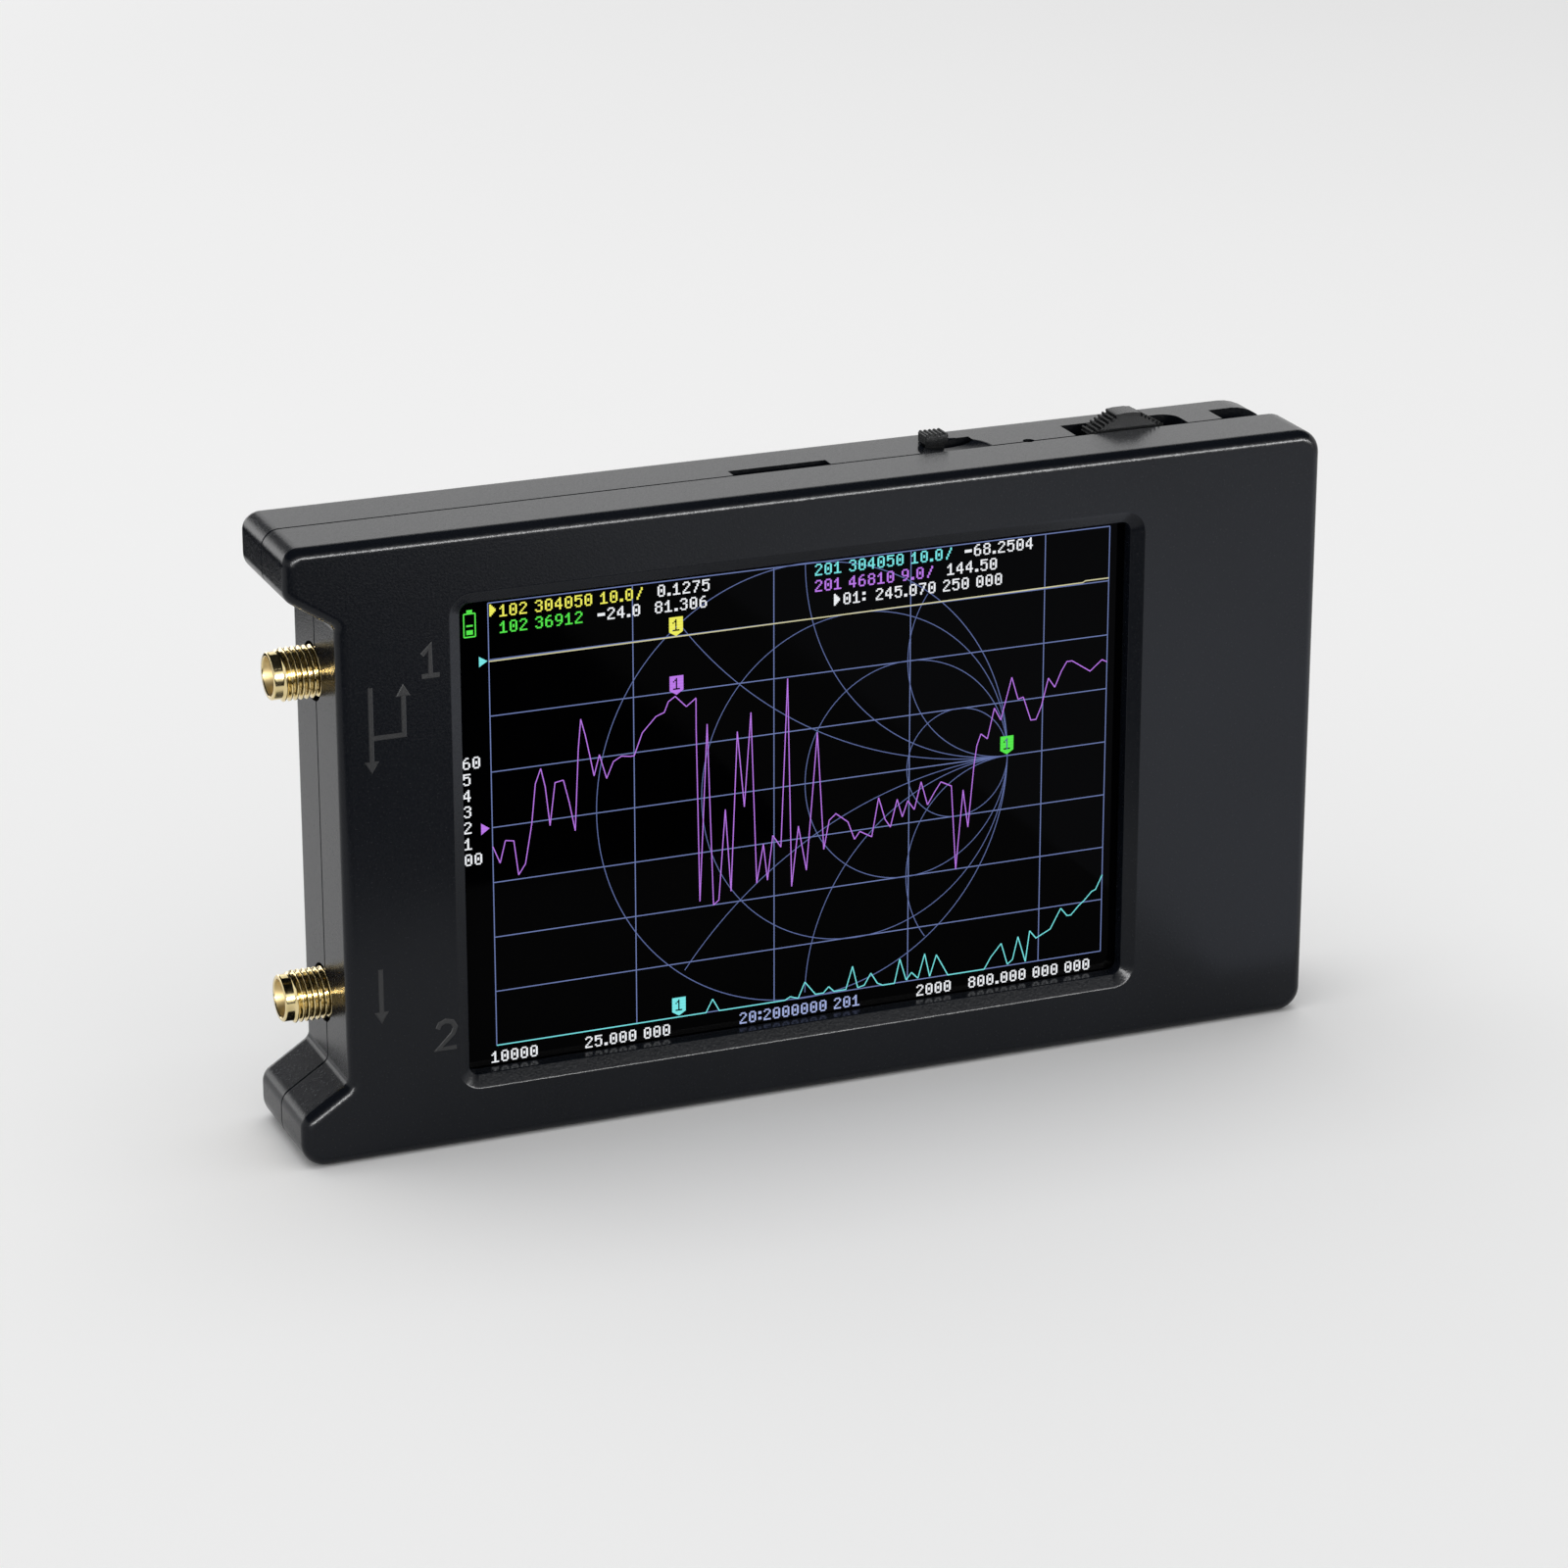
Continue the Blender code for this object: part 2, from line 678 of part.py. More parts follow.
def make_front_shell():
    shell = slab("front_shell", [case_outline()], FRONT, FRONT_RIM)
    on_front = FRONT + GAP / 10
    round_edges(shell, FRONT_EDGE_RADIUS, EDGE_STEPS, lambda end: end.y < on_front)
    cavity = slab(
        "front_cavity", [case_outline(WALL)], FRONT + FRONT_WALL, SEAM + OVERRUN, helper=True
    )
    lip_room = slab(
        "lip_room",
        [case_outline(WALL - LIP_THICKNESS - GAP)],
        SEAM - LIP_HEIGHT - GAP,
        SEAM + OVERRUN,
        helper=True,
    )
    cut(shell, cavity, lip_room, window_cutter())
    boss_end = BOARD_FACE - GAP
    for i, (x, z) in enumerate(SCREW_PLACES, 1):
        start = FRONT + FRONT_WALL / 2
        middle = (x, (start + boss_end) / 2, z)
        boss = drum(f"front_boss_{i}", middle, "Y", BOSS_RADIUS, boss_end - start, helper=True)
        hole_middle = (x, boss_end + (OVERRUN - BOSS_HOLE_DEPTH) / 2, z)
        hole = drum(
            f"front_boss_hole_{i}",
            hole_middle,
            "Y",
            SCREW_RADIUS + GAP,
            BOSS_HOLE_DEPTH + OVERRUN,
            SMALL_ROUND_STEPS,
            helper=True,
        )
        join(shell, boss)
        cut(shell, hole)
    web_front = SEAM - LIP_HEIGHT - GAP - NOTCH_WALL
    join(shell, corner_block("front_corner_web", RIGHT_CORNER_RADIUS, web_front, FRONT_RIM))
    cut(shell, *port_hole_cutters(), usb_hole_cutter(), light_hole_cutter())
    return paint(shell, black_plastic())


def knob_slot_cutter():
    left = KNOB_LEFT - RUNNING_GAP
    right = KNOB_LEFT + KNOB_WIDTH + KNOB_TRAVEL + RUNNING_GAP
    half = KNOB_DEPTH / 2 + RUNNING_GAP
    low = (left, KNOB_MIDDLE - half, TOP - WALL - OVERRUN)
    return box("knob_slot", low, (right, KNOB_MIDDLE + half, TOP + OVERRUN), helper=True)


def well_cutter():
    """A shallow oval dish, halved by the seam, that the power switch slides in."""
    radius = (WELL_HALF_WIDTH**2 + WELL_SINK**2) / (2 * WELL_SINK)
    bm = bmesh.new()
    bmesh.ops.create_uvsphere(bm, u_segments=2 * ROUND_STEPS, v_segments=2 * ROUND_STEPS, radius=radius)
    stretch = Vector((1, WELL_REACH / WELL_HALF_WIDTH, 1))
    bmesh.ops.scale(bm, vec=stretch, verts=bm.verts)
    dish = add_object("switch_well", finish_mesh("switch_well", bm), helper=True)
    dish.location = (KNOB_LEFT + WELL_OFFSET, SEAM, TOP - WELL_SINK + radius)
    return dish


def make_rear_shell():
    outline = case_outline(strap_radius=STRAP_CORNER_RADIUS)
    shell = slab("rear_shell", [outline], REAR_RIM, BACK)
    on_back = BACK - GAP / 10
    round_edges(shell, BACK_EDGE_RADIUS, EDGE_STEPS, lambda end: end.y > on_back)
    lip = slab(
        "rear_lip",
        [case_outline(WALL - LIP_THICKNESS)],
        SEAM - LIP_HEIGHT,
        REAR_RIM + OVERRUN,
        helper=True,
    )
    cavity = slab(
        "rear_cavity",
        [case_outline(WALL, STRAP_CORNER_RADIUS)],
        SEAM - LIP_HEIGHT - OVERRUN,
        BACK - BACK_WALL,
        helper=True,
    )
    join(shell, lip)
    cut(shell, cavity)
    boss_start = BOARD_REAR + GAP
    boss_end = BACK - BACK_WALL / 2
    for i, (x, z) in enumerate(SCREW_PLACES, 1):
        middle = (x, (boss_start + boss_end) / 2, z)
        length = boss_end - boss_start
        join(shell, drum(f"rear_boss_{i}", middle, "Y", BOSS_RADIUS, length, helper=True))
    block_back = BACK - BACK_WALL / 2
    join(shell, corner_block("rear_corner_block", STRAP_CORNER_RADIUS, REAR_RIM, block_back))
    notch_front = SEAM - LIP_HEIGHT - OVERRUN
    notch = box(
        "strap_notch",
        (RIGHT - NOTCH_SPAN, notch_front, TOP - NOTCH_SPAN),
        (RIGHT + OVERRUN, NOTCH_BACK, TOP + OVERRUN),
        helper=True,
    )
    lip_break = box(
        "lip_break",
        (
            RIGHT - NOTCH_SPAN - NOTCH_WALL - GAP,
            notch_front,
            TOP - NOTCH_SPAN - NOTCH_WALL - GAP,
        ),
        (RIGHT + OVERRUN, REAR_RIM, TOP + OVERRUN),
        helper=True,
    )
    cut(shell, notch, lip_break)
    join(shell, strap_post())
    cut(shell, *port_hole_cutters(), usb_hole_cutter(), light_hole_cutter())
    card_slot = box(
        "card_slot",
        (CARD_SLOT_LEFT, notch_front, TOP - WALL - OVERRUN),
        (CARD_SLOT_LEFT + CARD_SLOT_WIDTH, SEAM + CARD_SLOT_DEPTH, TOP + OVERRUN),
        helper=True,
    )
    cut(shell, card_slot, jog_slot_cutter(notch_front), well_cutter(), knob_slot_cutter())
    for i, (x, z) in enumerate(SCREW_PLACES, 1):
        through = BACK - boss_start + 2 * OVERRUN
        shank_middle = (x, (BACK + boss_start) / 2, z)
        shank = drum(
            f"rear_shank_hole_{i}",
            shank_middle,
            "Y",
            SCREW_RADIUS + GAP,
            through,
            SMALL_ROUND_STEPS,
            helper=True,
        )
        head_middle = (x, BACK + (OVERRUN - COUNTERBORE_DEPTH) / 2, z)
        head = drum(
            f"rear_head_hole_{i}",
            head_middle,
            "Y",
            SCREW_HEAD_RADIUS + GAP,
            COUNTERBORE_DEPTH + OVERRUN,
            helper=True,
        )
        cut(shell, shank, head)
    return paint(shell, black_plastic())


def jog_slot_cutter(front):
    """The slot that the rocker stands in, with one corner rounded."""
    left = JOG_CENTRE - JOG_SLOT_LEFT_HALF
    right = JOG_CENTRE + JOG_SLOT_RIGHT_HALF
    back = JOG_BACK + JOG_SLOT_MARGIN
    low = (left, front, TOP - WALL - OVERRUN)
    slot = box("jog_slot", low, (right, back, TOP + OVERRUN), helper=True)
    inner = GAP / 10
    return round_edges(
        slot,
        JOG_SLOT_CORNER,
        CORNER_STEPS,
        lambda end: end.x > right - inner and end.y > back - inner,
    )


def strap_post():
    """The post in the notch, which a wrist strap loops round."""
    back = NOTCH_BACK + OVERRUN
    centre = (RIGHT - STRAP_POST_INSET, (REAR_RIM + back) / 2, TOP - STRAP_POST_INSET)
    return drum("strap_post", centre, "Y", STRAP_POST_RADIUS, back - REAR_RIM, helper=True)


def make_screen_stack():
    """Touch glass, display, its ribbon and the ribbon's socket."""
    panel_left = WINDOW_LEFT - PANEL_MARGIN
    panel_bottom = BOTTOM_BORDER - PANEL_MARGIN
    panel_width = WINDOW_WIDTH + 2 * PANEL_MARGIN
    panel_height = WINDOW_HEIGHT + 2 * PANEL_MARGIN
    panel_outline = rectangle(panel_left, panel_bottom, panel_width, panel_height, DISPLAY_CORNER)
    paint(slab("touch_panel", [panel_outline], PANEL_FRONT, PANEL_BACK), screen_glass())
    display_outline = rectangle(
        WINDOW_LEFT - DISPLAY_MARGIN,
        BOTTOM_BORDER - DISPLAY_MARGIN,
        WINDOW_WIDTH + 2 * DISPLAY_MARGIN,
        WINDOW_HEIGHT + 2 * DISPLAY_MARGIN,
        DISPLAY_CORNER,
    )
    paint(slab("display_module", [display_outline], DISPLAY_FRONT, DISPLAY_BACK), tinned_steel())
    make_ribbon()


def make_ribbon():
    """The ribbon leaves the display's back, turns round and ends in a socket on the board."""
    near = DISPLAY_BACK + GAP + RIBBON_THICKNESS / 2
    plug_middle = BOARD_FACE - GAP - RIBBON_PLUG_HEIGHT / 2
    radius = (plug_middle - near) / 2
    turn = Vector((RIBBON_TURN, near + radius))
    steps = 2 * CORNER_STEPS
    centreline = [Vector((RIBBON_TURN - RIBBON_LENGTH, near))]
    for i in range(steps + 1):
        angle = -math.pi / 2 + math.pi * i / steps
        centreline.append(turn + Vector((math.cos(angle), math.sin(angle))) * radius)
    centreline.append(Vector((turn.x - RIBBON_TAIL, plug_middle)))
    bm = bmesh.new()
    low = [bm.verts.new((point.x, point.y, RIBBON_BOTTOM)) for point in centreline]
    high = [bm.verts.new((p.x, p.y, RIBBON_BOTTOM + RIBBON_WIDTH)) for p in centreline]
    for i in range(len(low) - 1):
        bm.faces.new((low[i], low[i + 1], high[i + 1], high[i]))
    ribbon = add_object("display_ribbon", finish_mesh("display_ribbon", bm))
    thickness = ribbon.modifiers.new("Thickness", "SOLIDIFY")
    thickness.thickness = RIBBON_THICKNESS
    thickness.offset = 0
    thickness.use_even_offset = True
    paint(ribbon, ribbon_film())
    half = RIBBON_PLUG_HEIGHT / 2
    low_corner = (RIBBON_PLUG_LEFT, plug_middle - half, RIBBON_BOTTOM)
    high_corner = (RIBBON_PLUG_RIGHT, plug_middle + half, RIBBON_BOTTOM + RIBBON_WIDTH)
    paint(box("ribbon_socket", low_corner, high_corner), ivory_plastic())


def make_battery():
    """Foil cell on a foam pad behind the display, with two leads to a socket on the board."""
    right = CELL_LEFT + CELL_WIDTH
    outline = rectangle(CELL_LEFT, CELL_BOTTOM, CELL_WIDTH, CELL_HEIGHT, CELL_CORNER)
    paint(slab("battery_cell", [outline], CELL_FRONT, CELL_BACK), cell_foil())
    pad_low = (CELL_LEFT + PAD_MARGIN, PAD_BACK - PAD_THICKNESS, CELL_BOTTOM + PAD_MARGIN)
    pad_high = (right - PAD_MARGIN, PAD_BACK, CELL_TOP - PAD_MARGIN)
    paint(box("battery_pad", pad_low, pad_high), foam())
    socket_left = right + SOCKET_GAP
    socket_low = (socket_left, CELL_BACK - SOCKET_DEPTH, CELL_TOP - SOCKET_HEIGHT)
    socket_high = (socket_left + SOCKET_WIDTH, CELL_BACK, CELL_TOP)
    paint(box("battery_socket", socket_low, socket_high), ivory_plastic())
    middle = CELL_TOP - SOCKET_HEIGHT / 2
    make_lead("battery_lead_positive", right, middle + LEAD_SPACING / 2, red_cover())
    make_lead("battery_lead_negative", right, middle - LEAD_SPACING / 2, black_cover())


def make_lead(name, cell_right, height, cover):
    """A short lead that bows forward between the cell and its socket."""
    start = cell_right + GAP
    end = cell_right + SOCKET_GAP - GAP
    depth = CELL_BACK - SOCKET_DEPTH / 2
    steps = CORNER_STEPS + 1
    curve = bpy.data.curves.new(name, "CURVE")
    curve.dimensions = "3D"
    curve.bevel_depth = LEAD_RADIUS
    curve.bevel_resolution = 2
    curve.use_fill_caps = True
    spline = curve.splines.new("POLY")
    spline.points.add(steps)
    for i, point in enumerate(spline.points):
        share = i / steps
        bow = LEAD_BOW * math.sin(math.pi * share) ** 2
        point.co = (start + (end - start) * share, depth - bow, height, 1)
    lead = bpy.data.objects.new(name, curve)
    PARTS.objects.link(lead)
    return paint(lead, cover)


def make_board():
    """The circuit board, cut round the jog switch, the power switch and the strap notch."""
    inset_distance = WALL + BOARD_MARGIN
    board = slab("main_board", [case_outline(inset_distance)], BOARD_FACE, BOARD_REAR)
    front = BOARD_FACE - OVERRUN
    back = BOARD_REAR + OVERRUN
    jog_half = JOG_BODY_WIDTH / 2 + GAP
    jog_low = jog_body_bottom() - GAP
    jog_room = box(
        "jog_room",
        (JOG_CENTRE - jog_half, front, jog_low),
        (JOG_CENTRE + jog_half, back, TOP),
        helper=True,
    )
    switch_left, switch_right = switch_span()
    switch_room = box(
        "switch_room",
        (switch_left, front, switch_top() - KNOB_SKIRT),
        (switch_right, back, TOP),
        helper=True,
    )
    corner_x = RIGHT - NOTCH_SPAN - NOTCH_WALL - GAP
    corner_z = TOP - NOTCH_SPAN - NOTCH_WALL - GAP
    corner_room = box("corner_room", (corner_x, front, corner_z), (RIGHT, back, TOP), helper=True)
    cut(board, jog_room, switch_room, corner_room)
    for i, height in enumerate(PORT_HEIGHTS, 1):
        half = FLANGE_SIDE / 2 + GAP
        port_room = box(
            f"port_room_{i}",
            (LEFT, front, height - half),
            (FLANGE_BACK + GAP, back, height + half),
            helper=True,
        )
        cut(board, port_room)
    for i, (x, z) in enumerate(SCREW_PLACES, 1):
        middle = (x, (BOARD_FACE + BOARD_REAR) / 2, z)
        length = BOARD_THICKNESS + 2 * OVERRUN
        radius = SCREW_RADIUS + GAP
        hole = drum(
            f"board_hole_{i}", middle, "Y", radius, length, SMALL_ROUND_STEPS, helper=True
        )
        cut(board, hole)
    return paint(board, board_laminate())


def make_chips():
    """The chips behind the board, some of them under a shield can."""
    rear = BOARD_REAR + GAP
    can_left = FLANGE_BACK + LEG_LENGTH + SHIELD_CLEARANCE
    can_right = can_left + SHIELD_WIDTH
    can_bottom = PORT_HEIGHTS[1] - SHIELD_MARGIN
    can_top = PORT_HEIGHTS[0] + SHIELD_MARGIN
    anchors = chip_anchors((can_left + can_right) / 2, (can_bottom + can_top) / 2)
    for name, (width, height, thickness) in CHIP_SIZES.items():
        across, up = anchors[name] + Vector(CHIP_OFFSETS[name])
        low = (across - width / 2, rear, up - height / 2)
        high = (across + width / 2, rear + thickness, up + height / 2)
        finish = tinned_steel() if name == "clock_crystal" else chip_resin()
        paint(box(name, low, high), finish)
    make_shield(((can_left, can_bottom), (can_right, can_top)), rear)


def chip_anchors(can_across, can_up):
    """The point that each chip's offset is counted from."""
    anchors = {name: Vector(((LEFT + RIGHT) / 2, TOP / 2)) for name in CHIP_SIZES}
    anchors["synthesizer_chip"] = Vector((can_across, can_up))
    anchors["reference_mixer"] = Vector((can_across, can_up))
    anchors["reflection_mixer"] = Vector((can_across, PORT_HEIGHTS[0]))
    anchors["transmission_mixer"] = Vector((can_across, PORT_HEIGHTS[1]))
    return anchors


def make_shield(area, rear):
    """A thin metal can over the radio circuits, open towards the board."""
    (left, bottom), (right, top) = area
    can = box("radio_shield", (left, rear, bottom), (right, rear + SHIELD_DEPTH, top))
    hollow = box(
        "shield_hollow",
        (left + SHIELD_WALL, rear - OVERRUN, bottom + SHIELD_WALL),
        (right - SHIELD_WALL, rear + SHIELD_DEPTH - SHIELD_WALL, top - SHIELD_WALL),
        helper=True,
    )
    cut(can, hollow)
    return paint(can, tinned_steel())


def port_profile(length):
    """The outside of a port, from its open end down to its flange."""
    thread_top = THREAD_TURNS * THREAD_PITCH
    root = THREAD_RADIUS - THREAD_DEPTH
    profile = [
        (0, length),
        (PORT_LEAD_RADIUS - GAP / 2, length),
        (PORT_LEAD_RADIUS, length - GAP / 2),
    ]
    base = length - (RECESS_DEPTH - PORT_END) - GAP
    for i in range(THREAD_TURNS):
        crest = base + thread_top - (i + 0.5) * THREAD_PITCH
        profile.append((root if i else PORT_LEAD_RADIUS, crest + THREAD_PITCH / 2))
        profile.append((THREAD_RADIUS, crest))
    profile.append((root, base))
    profile.append((root, 0))
    profile.append((0, 0))
    return profile


def make_port(number, height):
    """A threaded coaxial port: body with flange and legs, white insulator, centre contact."""
    barrel_foot = FLANGE_FACE + FLANGE_THICKNESS / 2
    end = LEFT + PORT_END
    length = barrel_foot - end
    name = f"port_{number}"
    body = turned(f"{name}_body", port_profile(length), (barrel_foot, PORT_AXIS, height), "-X")
    half = FLANGE_SIDE / 2
    flange = box(
        f"{name}_flange",
        (FLANGE_FACE, PORT_AXIS - half, height - half),
        (FLANGE_BACK, PORT_AXIS + half, height + half),
        helper=True,
    )
    join(body, flange)
    leg_fronts = (BOARD_FACE - GAP - LEG_SIDE, BOARD_REAR + GAP)
    leg_bottoms = (height - half, height + half - LEG_SIDE)
    for i, leg_front in enumerate(leg_fronts):
        for k, leg_bottom in enumerate(leg_bottoms):
            leg = box(
                f"{name}_leg_{i}{k}",
                (FLANGE_BACK - FLANGE_THICKNESS / 2, leg_front, leg_bottom),
                (FLANGE_BACK + LEG_LENGTH, leg_front + LEG_SIDE, leg_bottom + LEG_SIDE),
                helper=True,
            )
            join(body, leg)
    bore_length = FLANGE_BACK - end + 2 * OVERRUN
    bore_middle = ((FLANGE_BACK + end) / 2, PORT_AXIS, height)
    cut(body, drum(f"{name}_bore", bore_middle, "X", PORT_BORE_RADIUS, bore_length, helper=True))
    paint(body, gold_plate())

    insulator_length = FLANGE_BACK - end - INSULATOR_RECESS
    insulator_middle = (end + INSULATOR_RECESS + insulator_length / 2, PORT_AXIS, height)
    insulator = drum(
        f"{name}_insulator", insulator_middle, "X", PORT_BORE_RADIUS - GAP, insulator_length
    )
    hole = drum(
        f"{name}_insulator_hole",
        insulator_middle,
        "X",
        CONTACT_RADIUS + GAP,
        insulator_length + 2 * OVERRUN,
        SMALL_ROUND_STEPS,
        helper=True,
    )
    cut(insulator, hole)
    paint(insulator, white_insulator())

    contact_length = FLANGE_BACK - end - CONTACT_RECESS
    contact = turned(
        f"{name}_contact",
        [
            (0, contact_length - CONTACT_BORE_DEPTH),
            (CONTACT_BORE_RADIUS, contact_length - CONTACT_BORE_DEPTH),
            (CONTACT_BORE_RADIUS, contact_length),
            (CONTACT_RADIUS, contact_length),
            (CONTACT_RADIUS, 0),
            (PIN_RADIUS, 0),
            (PIN_RADIUS, -PIN_LENGTH),
            (0, -PIN_LENGTH),
        ],
        (FLANGE_BACK, PORT_AXIS, height),
        "-X",
        SMALL_ROUND_STEPS,
    )
    paint(contact, gold_plate())


def make_card_socket():
    """Sheet-metal socket under the card slot, open at its mouth."""
    left = CARD_SLOT_LEFT
    right = left + CARD_SLOT_WIDTH
    back = BOARD_FACE - GAP
    front = back - CARD_SOCKET_DEPTH
    bottom = CARD_SOCKET_BOTTOM
    socket = box(
        "card_socket",
        (left - CARD_SOCKET_MARGIN, front, bottom),
        (right + CARD_SOCKET_MARGIN, back, CARD_SOCKET_TOP),
    )
    mouth = box(
        "card_socket_mouth",
        (left, front + CARD_SOCKET_WALL, bottom + CARD_SOCKET_MARGIN),
        (right, back - CARD_SOCKET_WALL, CARD_SOCKET_TOP + OVERRUN),
        helper=True,
    )
    cut(socket, mouth)
    return paint(socket, tinned_steel())


def switch_span():
    """Left and right ends of the power switch body, with its knob at its left stop."""
    middle = KNOB_LEFT + (KNOB_WIDTH + KNOB_TRAVEL) / 2
    return middle - SWITCH_WIDTH / 2, middle + SWITCH_WIDTH / 2


def switch_top():
    return TOP - WALL - KNOB_SKIRT - RUNNING_GAP


def make_power_switch():
    left, right = switch_span()
    front = BOARD_REAR + GAP
    top = switch_top()
    body = box(
        "power_switch_body",
        (left, front, top - SWITCH_HEIGHT),
        (right, front + SWITCH_DEPTH, top),
    )
    stem_left = KNOB_LEFT + (KNOB_WIDTH - STEM_WIDTH) / 2
    stem_front = front + (SWITCH_DEPTH - STEM_DEPTH) / 2
    guide = box(
        "power_switch_guide",
        (stem_left - RUNNING_GAP, stem_front - RUNNING_GAP, top - STEM_PLUNGE - RUNNING_GAP),
        (
            stem_left + STEM_WIDTH + KNOB_TRAVEL + RUNNING_GAP,
            stem_front + STEM_DEPTH + RUNNING_GAP,
            top + OVERRUN,
        ),
        helper=True,
    )
    cut(body, guide)
    paint(body, tinned_steel())

    knob_front = KNOB_MIDDLE - KNOB_DEPTH / 2
    rib_width = KNOB_WIDTH / KNOB_RIBS
    crown = TOP + KNOB_RISE
    outline = [(KNOB_LEFT, top + RUNNING_GAP), (KNOB_LEFT + KNOB_WIDTH, top + RUNNING_GAP)]
    for i in range(KNOB_RIBS):
        rib_right = KNOB_LEFT + KNOB_WIDTH - i * rib_width
        outline.append((rib_right, crown - KNOB_RIB_DEPTH))
        outline.append((rib_right - rib_width / 2, crown))
    outline.append((KNOB_LEFT, crown - KNOB_RIB_DEPTH))
    knob = slab("power_switch_knob", [outline], knob_front, knob_front + KNOB_DEPTH)
    stem_high = top + RUNNING_GAP + KNOB_SKIRT / 2
    stem = box(
        "knob_stem",
        (stem_left, stem_front, top - STEM_PLUNGE),
        (stem_left + STEM_WIDTH, stem_front + STEM_DEPTH, stem_high),
        helper=True,
    )
    join(knob, stem)
    return paint(knob, key_plastic())


def plunger_floor():
    """Underside of the plunger's base, below the hub of the rocker."""
    return PIVOT_HEIGHT - JOG_HUB_RADIUS - RUNNING_GAP - JOG_PLUNGER_BASE


def jog_body_top():
    return plunger_floor() - JOG_PUSH - GAP


def jog_body_bottom():
    return jog_body_top() - JOG_BODY_HEIGHT


def make_jog_switch():
    top = jog_body_top()
    half_width = JOG_BODY_WIDTH / 2
    half_depth = JOG_BODY_DEPTH / 2
    body = box(
        "jog_switch_body",
        (JOG_CENTRE - half_width, JOG_MIDDLE - half_depth, jog_body_bottom()),
        (JOG_CENTRE + half_width, JOG_MIDDLE + half_depth, top),
    )
    inner_half = JOG_THICKNESS / 2 - JOG_CHEEK_THICKNESS
    stem_half_depth = inner_half - RUNNING_GAP
    stem_bottom = plunger_floor() - JOG_STEM_LENGTH
    guide_half = JOG_STEM_HALF_WIDTH + RUNNING_GAP
    guide_half_depth = stem_half_depth + RUNNING_GAP
    guide = box(
        "jog_guide",
        (
            JOG_CENTRE - guide_half,
            JOG_MIDDLE - guide_half_depth,
            stem_bottom - JOG_PUSH - RUNNING_GAP,
        ),
        (JOG_CENTRE + guide_half, JOG_MIDDLE + guide_half_depth, top + OVERRUN),
        helper=True,
    )
    cut(body, guide)
    paint(body, chip_resin())
    make_plunger(inner_half, stem_half_depth, stem_bottom)
    make_rocker(inner_half)


def make_plunger(inner_half, stem_half_depth, stem_bottom):
    """The plunger's stem, base and two cheeks that hold the rocker's axle."""
    floor = plunger_floor()
    base_top = floor + JOG_PLUNGER_BASE
    outer_half = inner_half + JOG_CHEEK_THICKNESS
    cheek_top = PIVOT_HEIGHT + JOG_HUB_RADIUS
    plunger = box(
        "jog_plunger",
        (JOG_CENTRE - JOG_STEM_HALF_WIDTH, JOG_MIDDLE - stem_half_depth, stem_bottom),
        (JOG_CENTRE + JOG_STEM_HALF_WIDTH, JOG_MIDDLE + stem_half_depth, base_top),
    )
    base = box(
        "plunger_base",
        (JOG_CENTRE - JOG_CHEEK_HALF_WIDTH - GAP, JOG_MIDDLE - outer_half, floor),
        (JOG_CENTRE + JOG_CHEEK_HALF_WIDTH + GAP, JOG_MIDDLE + outer_half, base_top),
        helper=True,
    )
    join(plunger, base)
    for side, near in (("front", -outer_half), ("back", inner_half)):
        cheek = box(
            f"plunger_{side}_cheek",
            (JOG_CENTRE - JOG_CHEEK_HALF_WIDTH, JOG_MIDDLE + near, floor + JOG_PLUNGER_BASE / 2),
            (JOG_CENTRE + JOG_CHEEK_HALF_WIDTH, JOG_MIDDLE + near + JOG_CHEEK_THICKNESS, cheek_top),
            helper=True,
        )
        join(plunger, cheek)
    axle_hole = drum(
        "plunger_axle_hole",
        (JOG_CENTRE, JOG_MIDDLE, PIVOT_HEIGHT),
        "Y",
        JOG_AXLE_RADIUS + RUNNING_GAP,
        2 * outer_half + 2 * OVERRUN,
        SMALL_ROUND_STEPS,
        helper=True,
    )
    cut(plunger, axle_hole)
    return paint(plunger, ivory_plastic())


def crest_point(crest, distance, depth):
    """The point a distance along the crest line and a depth below it."""
    for start, end in zip(crest, crest[1:]):
        side = end - start
        if distance <= side.length:
            break
        distance -= side.length
    along = side.normalized()
    return tuple(start + along * distance + Vector((-along.y, along.x)) * depth)


def rocker_outline():
    """The rocker's head seen from the front: ribs along a low gable, cut flat below."""
    base = TOP - JOG_SINK
    right = [Vector((JOG_HALF_WIDTH * x, TOP + JOG_RISE * z)) for x, z in JOG_CREST_SHARES]
    crest = right + [Vector((-point.x, point.y)) for point in reversed(right)]
    pitch = sum((end - start).length for start, end in zip(crest, crest[1:])) / JOG_RIBS
    outline = [(-JOG_HALF_WIDTH, base), (JOG_HALF_WIDTH, base)]
    for i in range(JOG_RIBS):
        for along, rise in JOG_RIB_SHARES:
            depth = JOG_RIB_DEPTH * (1 - rise)
            outline.append(crest_point(crest, (i + along) * pitch, depth))
    return outline


